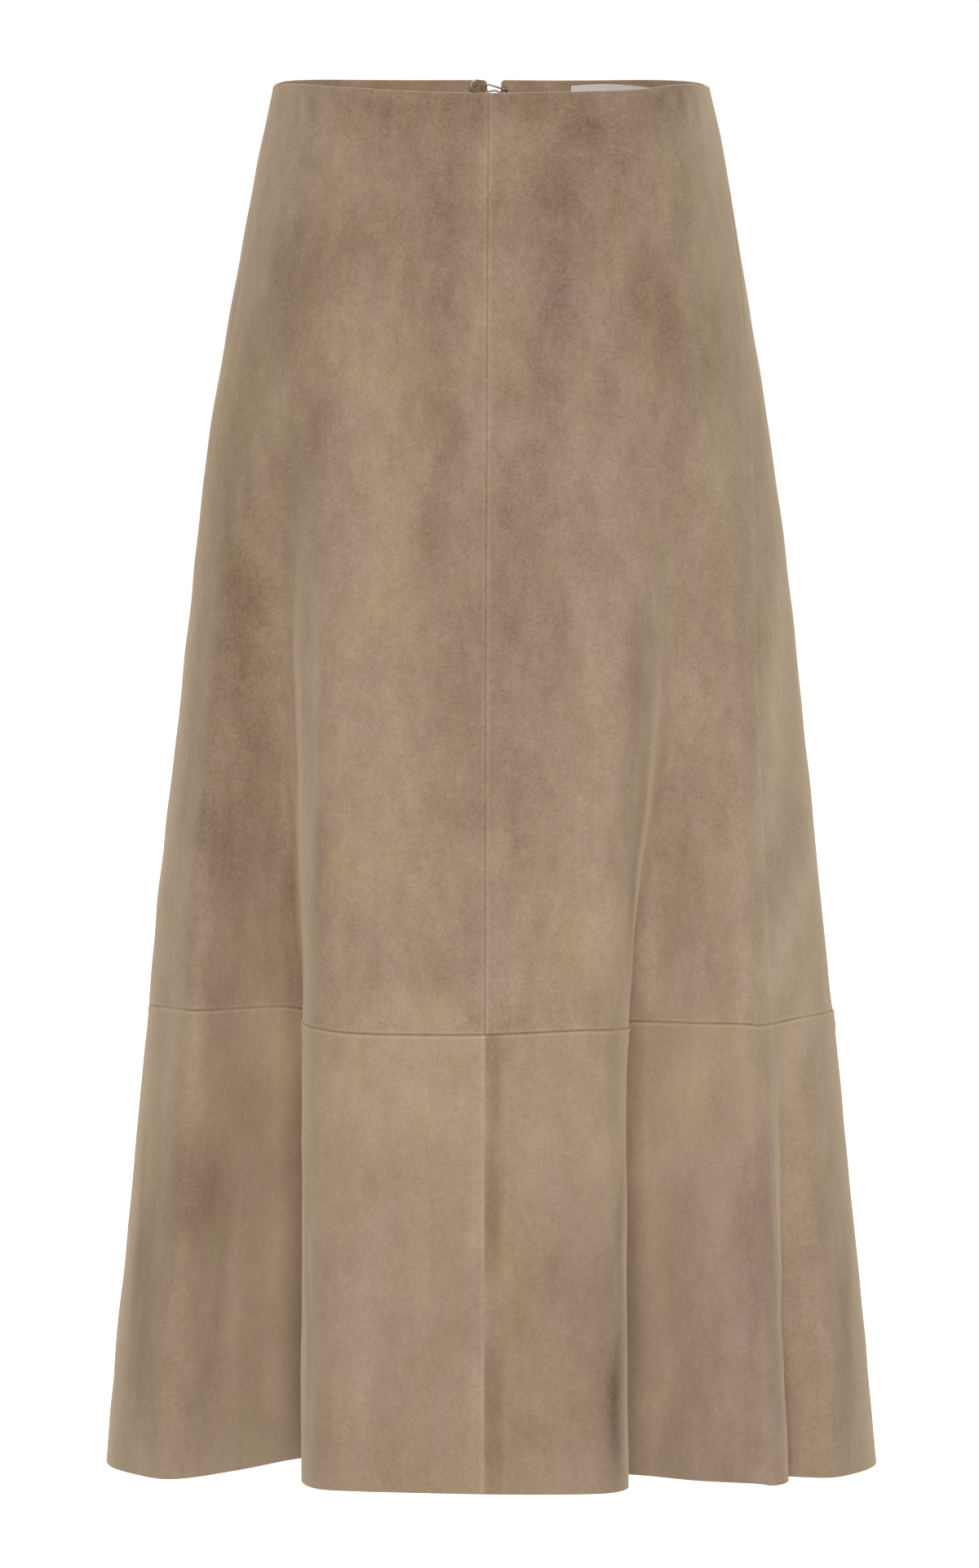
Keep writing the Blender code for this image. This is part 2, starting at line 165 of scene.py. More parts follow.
def foldStations(fold):
    for row in foldProfile:
        rest = -fold.over * row.rest * fold.lobe
        folded = -fold.over * (row.out * fold.lobe - row.under * fold.tuck)
        proud = fold.proud * mm if row.rest <= 0 else 0
        yield Station(fold.name + "." + row.name, fold.waist, fold.hip, fold.seam, fold.hem,
                      rest, folded, row.back * fold.step * mm, proud, fold.start * mm, fold.full * mm)


def makeStations():
    found = [plainStation(*seam) for seam in seams]
    for fold in folds:
        found.extend(foldStations(fold))
    found.sort(key=lambda station: station.waist + station.rest)
    first = found[0]
    following = found[1:] + [first._replace(waist=first.waist + 360, hip=first.hip + 360,
                                            seam=first.seam + 360, hem=first.hem + 360)]
    filled = []
    for here, there in zip(found, following):
        filled.append(here)
        width = (there.hem + there.folded) - (here.hem + here.folded)
        extra = int(width // cloth["plainStretch"])
        for k in range(1, extra + 1):
            share = k / (extra + 1)
            ends = [(1 - share) * a + share * b for a, b in (
                (here.waist + here.rest, there.waist + there.rest),
                (here.hip + here.rest, there.hip + there.rest),
                (here.seam + here.folded, there.seam + there.folded),
                (here.hem + here.folded, there.hem + there.folded))]
            filled.append(plainStation(here.name + ".plain", *ends))
    return filled


stations = makeStations()
stationNames = [station.name for station in stations]


def plainRing(turn, drop):
    # inner face of the cloth before any fold
    halfWidth, front, back = (through(column(sections, "drop"), column(sections, name), drop / mm) * mm
                              - cloth["wall"] for name in ("halfWidth", "front", "back"))
    across, ahead = np.sin(np.radians(turn)), np.cos(np.radians(turn))
    return -halfWidth * across, np.where(ahead < 0, front, back) * ahead


def stationKnots(tier, shares):
    # where each station is at shares of the way down the upper (0) or lower (1) tier
    shares = np.atleast_1d(shares)
    knots = np.zeros((len(shares), len(stations), 3))
    for number, station in enumerate(stations):
        place = (station.waist + station.rest) % 360
        waist, seam, hem = (through(column(levels, "turn"), column(levels, name), place) * mm
                            for name in ("waist", "seam", "hem"))
        top, bottom = (waist, seam) if tier == 0 else (seam, hem)
        drop = top + (bottom - top) * shares
        grown = smoothStep((drop - station.start) / (station.full - station.start))
        line = through([0, cloth["hipDepth"], cloth["seamDepth"], cloth["hemDepth"]],
                       [station.waist, station.hip, station.seam, station.hem], drop)
        x, y = plainRing(line + station.rest + (station.folded - station.rest) * grown ** 2, drop)
        y = y - np.sign(y) * (station.back - station.proud) * grown
        knots[:, number] = np.stack([x, y, -drop], axis=1)
    return knots


def ringPoints(knots, numbers):
    # closed curve through each row of knots, at station numbers with fractions
    count = knots.shape[1]
    after = np.roll(knots, -1, axis=1)
    span = np.sqrt(np.linalg.norm(after - knots, axis=2))[..., None]
    slope = (after - knots) / span
    beforeSpan, beforeSlope = np.roll(span, 1, axis=1), np.roll(slope, 1, axis=1)
    tangent = (slope * beforeSpan + beforeSlope * span) / (span + beforeSpan)
    numbers = np.asarray(numbers, float)
    whole = np.floor(numbers).astype(int)
    s = (numbers - whole)[None, :, None]
    i, k = whole % count, (whole + 1) % count
    return cubic(s, span[:, i], knots[:, i], tangent[:, i], knots[:, k], tangent[:, k])


def unit(vectors):
    return vectors / np.linalg.norm(vectors, axis=-1, keepdims=True)


mesh = {
    "coarse": 2.9 * mm,             # spacing of the mesh across a panel at the hem
    "coarseRows": 3.9 * mm,         # and down it
    "fine": 0.35 * mm,              # beside a seam or a cut edge
    "growth": 1.45,                 # from one spacing to the next
    "samples": 4000,                # along a panel's hem, to measure its columns by
    "rim": 0.5 * mm,                # kept free at the waist and hem for their rounded edges
}


def gradedShares(length, coarse):
    # shares along a length, close together near both ends
    steps, step, reached = [], mesh["fine"], 0.0
    while reached < length / 2:
        steps.append(step)
        reached += step
        step = min(step * mesh["growth"], coarse)
    steps = np.array(steps + steps[::-1])
    return np.concatenate([[0], np.cumsum(steps)]) / steps.sum()


def goreColumns(gore):
    first, last = stationNames.index(gore.start), stationNames.index(gore.end)
    if last <= first:
        last += len(stations)
    numbers = np.linspace(first, last, mesh["samples"])
    hem = ringPoints(stationKnots(1, 1), numbers)[0]
    along = np.concatenate([[0], np.cumsum(np.linalg.norm(np.diff(hem, axis=0), axis=1))])
    found = np.interp(gradedShares(along[-1], mesh["coarse"]) * along[-1], along, numbers)
    found[0], found[-1] = first, last
    return found


def lengthsAlong(points, axis):
    steps = np.linalg.norm(np.diff(points, axis=axis), axis=2)
    start = np.zeros_like(np.take(steps, [0], axis=axis))
    return np.concatenate([start, np.cumsum(steps, axis=axis)], axis=axis)


def pointsAt(at, lengths, points):
    # points read at new lengths along their line
    return np.stack([np.interp(at, lengths, points[:, axis]) for axis in range(3)], axis=1)


class Surface:
    # the inner face of the whole skirt as one grid, from the waist down and round from the centre back
    def __init__(self):
        perGore = [goreColumns(gore) for gore in gores]
        numbers = np.concatenate([found[:-1] for found in perGore] + [perGore[-1][-1:]])
        counts = np.cumsum([0] + [len(found) - 1 for found in perGore])
        self.goreSpans = list(zip(counts[:-1], counts[1:]))
        lengths = cloth["seamDepth"], cloth["hemDepth"] - cloth["seamDepth"]
        upper, lower = (gradedShares(length, mesh["coarseRows"]) for length in lengths)
        upper = 1 - (1 - upper) * (1 - mesh["rim"] / lengths[0])
        lower = lower * (1 - mesh["rim"] / lengths[1])
        self.seamRow = len(upper) - 1
        self.points = np.concatenate([ringPoints(stationKnots(0, upper), numbers),
                                      ringPoints(stationKnots(1, lower[1:]), numbers)])
        self.lastRow = len(self.points) - 1
        around = np.concatenate([self.points[:, -2:-1], self.points, self.points[:, 1:2]], axis=1)
        across = around[:, 2:] - around[:, :-2]
        down = np.gradient(self.points, axis=0)
        self.normals = unit(np.cross(down, across))
        self.round = lengthsAlong(self.points, 1)          # round the skirt from the centre back
        self.down = lengthsAlong(self.points, 0)           # down from the waist edge
        self.girth = self.round[:, -1:]
        self.fromFront = self.round - self.round[:, self.goreSpans[2][0]][:, None]
        self.fromBack = np.where(self.round < self.girth / 2, self.round, self.round - self.girth)

    def fromSeam(self, index):
        # distance to the upright seam at the start of a gore
        away = np.abs(self.round - self.round[:, self.goreSpans[index][0]][:, None])
        return np.minimum(away, self.girth - away)


skirt = Surface()
print("rings", skirt.points.shape)


def waves(points, size, seed, count=14):
    # smooth uneven field of about unit height whose bumps are roughly a given size
    source = np.random.RandomState(seed)
    directions = unit(source.normal(size=(count, 3))) * (2 * pi / (2 * size))
    directions *= source.uniform(0.6, 1.4, (count, 1))
    phases = source.uniform(0, 2 * pi, count)
    return sum(np.sin(points @ d + p) for d, p in zip(directions, phases)) / np.sqrt(count / 2)


seamFinish = {
    "allowanceThickness": 0.6 * mm,     # skived thin, pressed open and glued to the wrong side
    "allowanceSoft": 1.5 * mm,
    "lipPlace": 1.35 * mm,              # a soft roll beside the stitching
    "lipWidth": 0.75 * mm,
    "unevenSize": 34 * mm,              # how the step over the allowance comes and goes
    "unevenShare": 0.55,
    "lineWidth": 0.45 * mm,             # the line where two edges meet: dark where its tone is below 0, a painted highlight where above
    "lipHighlight": 0.5,                     # painted highlight on the raised lip, for each mm it stands up
    "edgeRadius": 0.45 * mm,            # at the waist and the cut hem
}

Join = namedtuple("Join", "name tier width roll lipBefore lipAfter before after napBefore napAfter napLine")
joins = [Join(*row) for row in (        # sizes in mm: before is above a seam or on its lesser turn
    # the last three columns tone the nap over the allowances and along the seam line, which is a painted
    # highlight where above 0
    ("flat", "both", 10.8, 0.70, 0.26, 0.48, 0.04, 0.34, 0.00, 0.02, -0.62),
    ("centreFront", "upper", 9.5, 0.22, 0.20, 0.40, 0.06, 0.12, 0.00, 0.00, -0.10),
    ("centreFront", "lower", 9.7, 0.30, 0.30, 0.08, 0.10, 0.36, 0.06, -0.16, 0.34),
    ("rightSide", "upper", 10.2, 0.45, 0.34, 0.10, 0.18, 0.12, 0.04, -0.08, 0.50),
    ("rightSide", "lower", 10.0, 0.45, 0.30, 0.10, 0.28, 0.16, 0.02, -0.10, 0.22),
    ("leftSide.edge", "upper", 9.8, 0.45, 0.12, 0.24, 0.10, 0.20, 0.00, 0.00, 0.04),
    ("leftSide.edge", "lower", 10.1, 0.40, 0.14, 0.20, 0.16, 0.28, 0.00, 0.02, 0.04),
    ("centreBack", "upper", 11.0, 0.55, 0.20, 0.22, 0.30, 0.26, 0.00, 0.00, -0.05),
    ("centreBack", "lower", 9.9, 0.35, 0.12, 0.20, 0.30, 0.12, -0.04, 0.03, 0.06),
)]


def roundedEdge(distance, radius):
    # how far a rounded edge has dropped at a distance from it
    inside = np.clip(radius - distance, 0, radius)
    return radius - np.sqrt(radius ** 2 - inside ** 2)


def joinSpans():
    # for each join, the signed distance to it and where it applies
    below = skirt.down - skirt.down[skirt.seamRow]
    upper = np.arange(len(skirt.points))[:, None] <= skirt.seamRow
    for number, join in enumerate(joins):
        if join.name == "flat":
            yield number, join, below, True
            continue
        index = [gore.start for gore in gores].index(join.name)
        signed = skirt.round - skirt.round[:, skirt.goreSpans[index][0]][:, None]
        signed = np.where(signed > skirt.girth / 2, signed - skirt.girth, signed)
        signed = np.where(signed < -skirt.girth / 2, signed + skirt.girth, signed)
        yield number, join, signed, upper if join.tier == "upper" else ~upper


def joinRelief():
    # height of the cloth beside its seams, its nap over the allowances, and painted highlight on the lips and
    # along some seams
    raised, dropped, nap = (np.zeros_like(skirt.down) for _ in range(3))
    for number, join, signed, applies in joinSpans():
        away = np.abs(signed)
        after = signed > 0
        uneven = waves(skirt.points, seamFinish["unevenSize"], 20 + number)
        uneven = np.clip(1 + seamFinish["unevenShare"] * uneven, 0, 2)
        lip = np.where(after, join.lipAfter, join.lipBefore) * mm
        lip = lip * np.exp(-((away - seamFinish["lipPlace"]) / seamFinish["lipWidth"]) ** 2)
        covered = 1 - smoothStep((away - join.width * mm) / seamFinish["allowanceSoft"] + 0.5)
        step = np.where(after, join.after, join.before) * mm * uneven * covered
        raised = np.where(applies, np.maximum(raised, lip + step), raised)
        dropped = np.where(applies, np.maximum(dropped, roundedEdge(away, join.roll * mm)), dropped)
        seamToneAndHighlight = np.where(after, join.napAfter, join.napBefore) * covered * uneven
        # a dark line along the seam, and a painted highlight along it where its tone is above 0
        seamToneAndHighlight += join.napLine * np.exp(-(away / seamFinish["lineWidth"]) ** 2)
        # painted highlight: the raised lip made paler in step with its height
        seamToneAndHighlight += seamFinish["lipHighlight"] * lip / mm
        nap += np.where(applies, seamToneAndHighlight, 0)
    return raised, dropped, nap


Mark = namedtuple("Mark", "across down toAcross toDown width height tone")
# a crease's tone is painted shade in its trough and painted highlight on its ridge
creasesWithPaintedLight = {                         # mm along the cloth from the middle of its side, and below the waist
    "front": (
        (46, 13, 76, 22, 2.0, -0.8, -0.12),        # drawn in where the waist is hooked
        (44, 20, 68, 29, 2.0, -0.7, -0.1),
        (70, 22, 110, 29, 2.6, -0.6, -0.1),
        (38, 10, 92, 13, 2.4, 0.5, 0.1),
        (8, 11, 19, 24, 5.0, 0.5, 0.12),
        (-124, 1, -119, 24, 2.2, 0.7, 0.12),
        (-117, 3, -112, 24, 2.4, -0.5, -0.1),
        (-109, 2, -106, 20, 2.6, 0.5, 0.08),
        (-123, 38, -104, 45, 3.0, -0.4, -0.08),
        (-128, 73, -106, 76, 2.5, 0.4, 0.07),
        (104, 2, 106, 20, 3.0, -0.5, -0.12),
        (111, 2, 113, 20, 2.5, 0.4, 0.08),
        (119, 2, 121, 24, 2.5, -0.5, -0.12),
        (127, 4, 132, 34, 3.0, 0.7, 0.14),
        (-18, 522, -4, 548, 3.0, -0.5, -0.1),      # where the tiers and the centre seam cross
        (14, 552, 3, 566, 3.0, -0.7, -0.14),
        (22, 556, 9, 572, 3.0, 0.5, 0.08),
        (3, 560, 6, 640, 3.5, -0.5, -0.1),
        (-124, 280, -148, 430, 3.5, -0.5, -0.16),  # painted shade beside the folds' edges, where the upper layer shades the cloth under it, with a little relief in the first three
        (-140, 380, -182, 520, 7.0, -0.3, -0.2),
        (-119, 290, -136, 480, 3.0, 0.2, 0.0),
        (-115, 560, -115, 850, 4.5, 0.0, -0.34),
        (102, 370, 90, 560, 6.0, 0.0, -0.55),
        (88, 570, 82, 850, 5.0, 0.0, -0.42),
        (-283, 650, -300, 790, 5.0, -0.7, -0.1),   # soft standing folds in the lower tier
        (-272, 655, -286, 780, 5.0, 0.5, 0.06),
        (268, 640, 276, 790, 5.0, -0.6, -0.08),
        (330, 600, 348, 800, 6.0, -0.6, -0.06),
        (-350, 600, -368, 790, 6.0, -0.6, -0.08),
    ),
    "back": (
        (-60, 12, -30, 22, 3.0, -0.7, -0.2),
        (34, 15, 62, 26, 3.0, -0.6, -0.16),
        (110, 3, 114, 28, 3.0, -0.6, -0.12),
        (-118, 3, -121, 26, 3.0, 0.6, 0.12),
        (-126, 2, -130, 22, 2.5, -0.5, -0.12),
        (124, 4, 129, 32, 3.0, 0.6, 0.12),
        (16, 548, 4, 564, 3.0, -0.7, -0.14),
        (-22, 520, -6, 546, 3.0, -0.5, -0.1),
        (240, 640, 252, 790, 5.0, -0.7, -0.1),
        (-262, 630, -276, 795, 6.0, -0.6, -0.08),
    ),
}
markFinish = {
    "wander": 2.5,                  # mm that a crease strays to either side
    "taper": 0.35,                  # share of its length over which each end fades
}


def clothPlace(side):
    # distance along the cloth from the middle of a side, and below the waist
    across = skirt.fromFront if side == "front" else skirt.fromBack
    return across / mm, skirt.down / mm


def markShares(side, mark, wander):
    # a long soft mark with tapered ends, 1 along its middle
    across, down = clothPlace(side)
    across = across + markFinish["wander"] * wander[0]
    down = down + markFinish["wander"] * wander[1]
    runAcross, runDown = mark.toAcross - mark.across, mark.toDown - mark.down
    length = np.hypot(runAcross, runDown)
    along = ((across - mark.across) * runAcross + (down - mark.down) * runDown) / length ** 2
    beside = ((across - mark.across) * runDown - (down - mark.down) * runAcross) / length
    ends = smoothStep(along / markFinish["taper"]) * smoothStep((1 - along) / markFinish["taper"])
    return np.exp(-(beside / mark.width) ** 2) * ends


# nap darker or lighter, pinker (+) or more olive (-), with painted light in the tone: lighter in the fold
# floors, darker beside the folds' edges and along the sides. Across from the middle of its side and below the
# waist, half its width and height, all in mm, then its tone and hue
toneAndLightPatches = {
    "front": (
        (12, 6, 128, 15, -0.26, -0.3), (118, 8, 14, 18, -0.2, 0), (-88, 13, 9, 20, -0.18, -0.2),
        (64, 24, 26, 20, -0.26, 0), (7, 18, 5, 14, 0.14, -0.1), (-40, 38, 22, 34, -0.26, -0.1),
        (84, 50, 14, 22, -0.1, 0), (38, 62, 24, 30, -0.28, 0.1), (108, 68, 14, 28, 0, -0.8),
        (122, 75, 12, 40, -0.12, 0), (-110, 72, 14, 24, 0.1, 0), (-70, 98, 75, 28, -0.16, -0.1),
        (-19, 116, 14, 34, -0.2, 0), (-123, 134, 20, 48, -0.32, 0), (37, 138, 14, 42, -0.26, 0.5),
        (104, 144, 18, 38, -0.28, -0.3), (138, 151, 12, 30, 0, -0.8), (-66, 160, 24, 38, 0.08, -0.2),
        (215, 210, 22, 60, -0.16, -0.4), (-20, 188, 14, 30, -0.2, -0.6), (75, 217, 20, 40, 0, 0.6),
        (-110, 226, 16, 40, -0.22, 0), (-205, 230, 40, 100, -0.14, -0.8), (34, 237, 16, 38, -0.2, 0.6),
        (-28, 242, 20, 24, -0.28, -0.2), (-60, 265, 26, 95, 0.16, -0.3), (-140, 265, 12, 25, -0.16, 0),
        (-172, 292, 22, 110, -0.26, -0.5), (-250, 310, 14, 80, -0.24, -0.5), (20, 315, 22, 55, -0.26, 0.3),
        (70, 336, 16, 34, 0, 0.6), (-107, 340, 8, 55, 0.16, 0.9), (-13, 342, 20, 65, -0.2, 0),
        (88, 350, 8, 40, -0.12, 0), (196, 345, 9, 40, 0.14, 0), (200, 395, 18, 95, 0.36, 0.1),
        (-106, 462, 14, 52, -0.18, 0), (67, 408, 16, 48, 0.16, 0.1), (-200, 412, 17, 60, -0.08, -0.2),
        (18, 420, 11, 38, -0.22, 0.3), (-232, 445, 20, 34, -0.26, 0), (-214, 350, 18, 90, -0.16, 0),
        (-62, 435, 30, 50, 0.16, 0.1), (-184, 512, 12, 40, -0.18, 0), (-290, 470, 26, 60, 0, -0.4),
        (258, 492, 16, 48, 0.12, -0.4), (56, 500, 26, 34, 0.24, 0), (94, 470, 12, 30, -0.2, 0),
        (150, 504, 13, 26, 0.16, 0.3), (-196, 540, 12, 30, -0.24, 0), (185, 512, 14, 32, 0.06, 0.9),
        (-200, 515, 18, 32, 0.26, -0.4), (246, 506, 20, 44, 0.38, 0.6), (-290, 530, 14, 32, 0.12, 0),
        (168, 536, 15, 22, 0.24, 0.6), (-25, 538, 24, 16, 0.24, 0), (14, 550, 12, 18, 0, -0.6),
        (282, 580, 20, 46, 0.3, 0), (-226, 582, 19, 50, 0.5, -0.3), (203, 584, 24, 52, 0.46, 0),
        (-62, 592, 52, 42, 0.17, -0.1), (41, 598, 40, 38, 0.14, 0), (-239, 622, 10, 22, 0.14, 0),
        (215, 642, 28, 34, 0.26, 0.3), (250, 640, 15, 50, 0.18, 0), (-296, 656, 24, 30, -0.34, 0.1),
        (-330, 628, 24, 26, -0.14, 0), (-335, 660, 22, 80, 0, -0.9), (280, 690, 14, 90, -0.16, 0.3),
        (48, 690, 13, 26, -0.18, 0), (74, 695, 12, 34, -0.14, 0), (-7, 690, 9, 70, 0, 0.8),
        (202, 696, 16, 56, 0.28, 0), (-343, 700, 26, 55, -0.42, -0.2), (-239, 700, 17, 50, 0.4, -0.4),
        (-45, 702, 34, 46, 0.02, 0.3), (27, 712, 20, 50, 0, -1.2), (-319, 728, 20, 58, 0, 0.8),
        (275, 730, 80, 80, 0, 0.5), (-70, 740, 24, 44, 0.02, 0.4), (66, 745, 16, 50, -0.18, 0),
        (-362, 758, 20, 48, -0.42, 0), (-312, 785, 30, 30, -0.16, 0), (370, 760, 14, 80, -0.42, 0),
        (205, 772, 14, 45, 0.24, 0.1), (80, 785, 9, 34, -0.4, 0), (-241, 787, 15, 36, 0.28, -0.2),
        (18, 780, 22, 26, -0.2, 0), (-94, 790, 20, 24, -0.14, 0), (300, 795, 18, 40, 0, 0.4),
    ),
    "back": (
        (-74, 22, 26, 22, -0.2, -0.3), (52, 40, 15, 34, -0.16, 0.2), (-118, 120, 13, 44, -0.18, 0.4),
        (130, 150, 14, 40, -0.16, -0.3), (-30, 160, 16, 40, -0.13, -0.5), (66, 190, 18, 50, 0.1, 0.5),
        (-70, 260, 20, 60, 0.09, -0.2), (24, 300, 13, 42, -0.12, 0.6), (172, 330, 14, 64, -0.16, 0),
        (-176, 350, 14, 70, 0.14, 0.4), (-20, 420, 18, 55, -0.1, -0.4), (84, 440, 16, 44, 0.1, 0.2),
        (-160, 500, 18, 40, 0.2, 0), (34, 550, 32, 12, 0.1, -0.3), (190, 600, 18, 60, 0.3, -0.3),
        (-60, 605, 50, 40, 0.1, 0.2), (-205, 620, 18, 70, 0.3, 0.3), (60, 700, 22, 50, -0.05, -0.9),
        (-30, 720, 14, 60, 0.07, 0.7), (-120, 760, 24, 40, -0.1, 0), (120, 770, 18, 34, -0.12, 0.3),
    ),
}


def napTones():
    # the nap's lightness and hue at every point of the cloth, with painted light and shade in the lightness
    tone, hue = np.zeros_like(skirt.down), np.zeros_like(skirt.down)
    wander = waves(skirt.points, 45 * mm, 71), waves(skirt.points, 60 * mm, 72)
    loose = 0.22                    # share of its size by which a patch's edge strays
    for side, rows in toneAndLightPatches.items():
        across, down = clothPlace(side)
        for patchAcross, patchDown, wide, tall, toneStep, hueStep in rows:
            stray = loose * min(wide, tall)
            share = np.exp(-((across + stray * wander[0] - patchAcross) / wide) ** 2
                           - ((down + stray * wander[1] - patchDown) / tall) ** 2)
            tone += toneStep * share
            hue += hueStep * share
    return tone, hue


closure = {
    "openingWidth": 8.5 * mm,       # between the two edges at the waist
    "openingDepth": 36 * mm,        # where the edges meet
    "easeWidth": 40 * mm,           # cloth on either side that makes way for it
    "cornerRadius": 2.4 * mm,
    "hairGap": 0.05 * mm,           # between two panels at a seam
    "zipEnd": 203 * mm,             # below the waist
    "liningGap": 0.8 * mm,          # between the cloth and what is sewn on its wrong side
    "layerGap": 0.3 * mm,
}

swell = {
    "broadSize": 75 * mm,           # slow unevenness of the hanging cloth
    "broadHeight": 0.55 * mm,
    "smallSize": 22 * mm,
    "smallHeight": 0.12 * mm,
    "waistFade": 60 * mm,           # the waist is held smooth
    "zipFade": 18 * mm,             # and so is the cloth over the zip
}


def clothRelief():
    raised, dropped, nap = joinRelief()
    sway = (swell["broadHeight"] * waves(skirt.points, swell["broadSize"], 3)
            + swell["smallHeight"] * waves(skirt.points, swell["smallSize"], 4))
    overZip = smoothStep((np.abs(skirt.fromBack) - swell["zipFade"]) / swell["zipFade"])
    overZip = np.maximum(overZip, smoothStep((skirt.down - closure["zipEnd"]) / swell["waistFade"]))
    sway = sway * smoothStep(skirt.down / swell["waistFade"]) * overZip
    tone, hue = napTones()
    wander = waves(skirt.points, 30 * mm, 61), waves(skirt.points, 30 * mm, 62)
    for side, rows in creasesWithPaintedLight.items():
        for row in rows:
            crease = Mark(*row)
            share = markShares(side, crease, wander)
            sway = sway + crease.height * mm * share
            # painted shade and highlight along the crease
            tone = tone + crease.tone * share
    return raised + sway - dropped, tone + nap, hue


def halfOpening(depth):
    wide = closure["openingWidth"] - closure["hairGap"]
    return closure["hairGap"] / 2 + wide / 2 * (1 - smoothStep(depth / closure["openingDepth"]))


def openBack(values):
    # the values on the grid, read where the cloth lies once the centre back is parted
    parted = values.copy()
    ease = closure["easeWidth"]
    for row in range(skirt.seamRow + 1):
        along = skirt.round[row]
        half = halfOpening(skirt.down[row, 0])
        moved = np.where(along < ease, half + along * (1 - half / ease), along)
        left = along[-1] - along
        moved = np.where(left < ease, along[-1] - half - left * (1 - half / ease), moved)
        parted[row] = pointsAt(moved, along, values[row])
    return parted


def clothFaces():
    # outer and inner faces of the cloth, and how its nap lies
    points, normals = openBack(skirt.points), unit(openBack(skirt.normals))
    height, tone, hue = clothRelief()
    outer = points + normals * (cloth["wall"] + height)[..., None]
    fromFlat = np.abs(skirt.down - skirt.down[skirt.seamRow])
    nearest = np.minimum.reduce([fromFlat] + [skirt.fromSeam(index) for index in range(4)])
    backing = seamFinish["allowanceThickness"] * (nearest < joins[0].width * mm)
    inner = points + normals * (height - backing)[..., None]
    fromOpening = np.minimum(skirt.round, skirt.girth - skirt.round)
    sink = roundedEdge(fromOpening, closure["cornerRadius"])
    sink = sink * (1 - smoothStep(skirt.down / (4 * closure["cornerRadius"])))
    for face in (outer, inner):
        face[..., 2] -= sink
    return outer, inner, tone, hue


def meshFromArrays(name, vertices, quads, **layers):
    used = np.unique(quads)
    renumber = np.full(len(vertices), -1)
    renumber[used] = np.arange(len(used))
    made = bpy.data.meshes.new(name)
    made.from_pydata(vertices[used].tolist(), [], renumber[quads].tolist())
    for layer, values in layers.items():
        made.attributes.new(layer, "FLOAT", "POINT").data.foreach_set("value", values[used])
    made.shade_smooth()
    return made


def gridQuads(index, closed=False, flip=False):
    # quads between the rows of a grid of vertex numbers; a closed grid comes round to its first column
    if closed:
        index = np.pad(index, ((0, 0), (0, 1)), mode="wrap")
    a, b, c, d = index[:-1, :-1], index[1:, :-1], index[1:, 1:], index[:-1, 1:]
    return np.stack((a, d, c, b) if flip else (a, b, c, d), axis=-1).reshape(-1, 4)


def closedSheet(name, outer, inner, bulges, **values):
    # a closed thin mesh from its two faces, with rims between them rounded out at top, foot and sides
    rows, columns = outer.shape[:2]
    middle = (outer + inner) / 2
    rim = np.pad(middle, ((1, 1), (1, 1), (0, 0)), mode="edge")
    top, foot, sides = bulges
    rim[0, 1:-1] += unit(middle[0] - middle[1]) * top
    rim[-1, 1:-1] += unit(middle[-1] - middle[-2]) * foot
    rim[1:-1, 0] += unit(middle[:, 0] - middle[:, 1]) * sides
    rim[1:-1, -1] += unit(middle[:, -1] - middle[:, -2]) * sides
    grids = []
    for face in (outer, inner):
        grid = rim.copy()
        grid[1:-1, 1:-1] = face
        grids.append(grid)
    index = np.arange((rows + 2) * (columns + 2)).reshape(rows + 2, columns + 2)
    behind = index + index.size
    border = np.ones_like(index, bool)
    border[1:-1, 1:-1] = False
    behind[border] = index[border]
    quads = np.concatenate([gridQuads(index), gridQuads(behind, flip=True)])
    layers = {}
    for layer, pair in values.items():
        layers[layer] = np.concatenate([np.pad(grid, 1, mode="edge").reshape(-1) for grid in pair])
    return meshFromArrays(name, np.concatenate([grid.reshape(-1, 3) for grid in grids]), quads, **layers)


def linkObject(name, data):
    made = bpy.data.objects.new(name, data)
    bpy.context.scene.collection.objects.link(made)
    return made


def addPiece(name, data, look, stands=None, body="skirt"):
    made = linkObject(name, data)
    data.materials.append(look)
    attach(made, body)
    if stands:
        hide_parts(stands)
    return made


def linearColour(text, share=1.0):
    # sRGB hex to linear, and a share of its brightness
    channels = [int(text[i:i + 2], 16) / 255 for i in (1, 3, 5)]
    linear = [c / 12.92 if c <= 0.04045 else ((c + 0.055) / 1.055) ** 2.4 for c in channels]
    return tuple(share * c for c in linear) + (1.0,)


def setInputs(tree, node, inputs):
    # an input is a value, a node's output, or a node whose first output is meant
    for name, value in inputs.items():
        if isinstance(value, bpy.types.Node):
            value = value.outputs[0]
        if isinstance(value, bpy.types.NodeSocket):
            tree.links.new(value, node.inputs[name])
        else:
            node.inputs[name].default_value = value


def addNode(tree, kind, inputs=None, **settings):
    # adds a node with its settings and links
    node = tree.nodes.new("ShaderNode" + kind)
    for name, value in settings.items():
        setattr(node, name, value)
    setInputs(tree, node, inputs or {})
    return node


def newMaterial(name):
    made = bpy.data.materials.new(name)
    made.use_nodes = True
    return made, made.node_tree, made.node_tree.nodes["Principled BSDF"]


suede = {
    "pink": "#a28a79",              # split hide, drum dyed, its nap brushed one way
    "olive": "#9e8767",             # and the other
    "bloom": "#d9c4a8",             # the tips of the nap, seen side on
    "deepening": (0.86, 1, 1.04),   # darker nap is browner
    "cloudSize": 105 * mm,          # where the hide took the dye differently
    "blotchSize": 32 * mm,          # palm-sized strokes of the brush
    "strokeSize": 9 * mm,           # finger marks
    "tuftSize": 4 * mm,             # tufts of nap, drawn coarser than the real 0.3 mm
    "grainSize": 1.6 * mm,          # single fibres, far coarser than the real ones too
    "cloudTone": 0.22,
    "blotchTone": 0.5,
    "strokeTone": 0.28,
    "tuftTone": 0.2,
    "grainTone": 0.34,
    "cloudHue": 1.0,
    "blotchHue": 1.9,
    "strokeHue": 1.0,
    "tuftHue": 0.8,
}


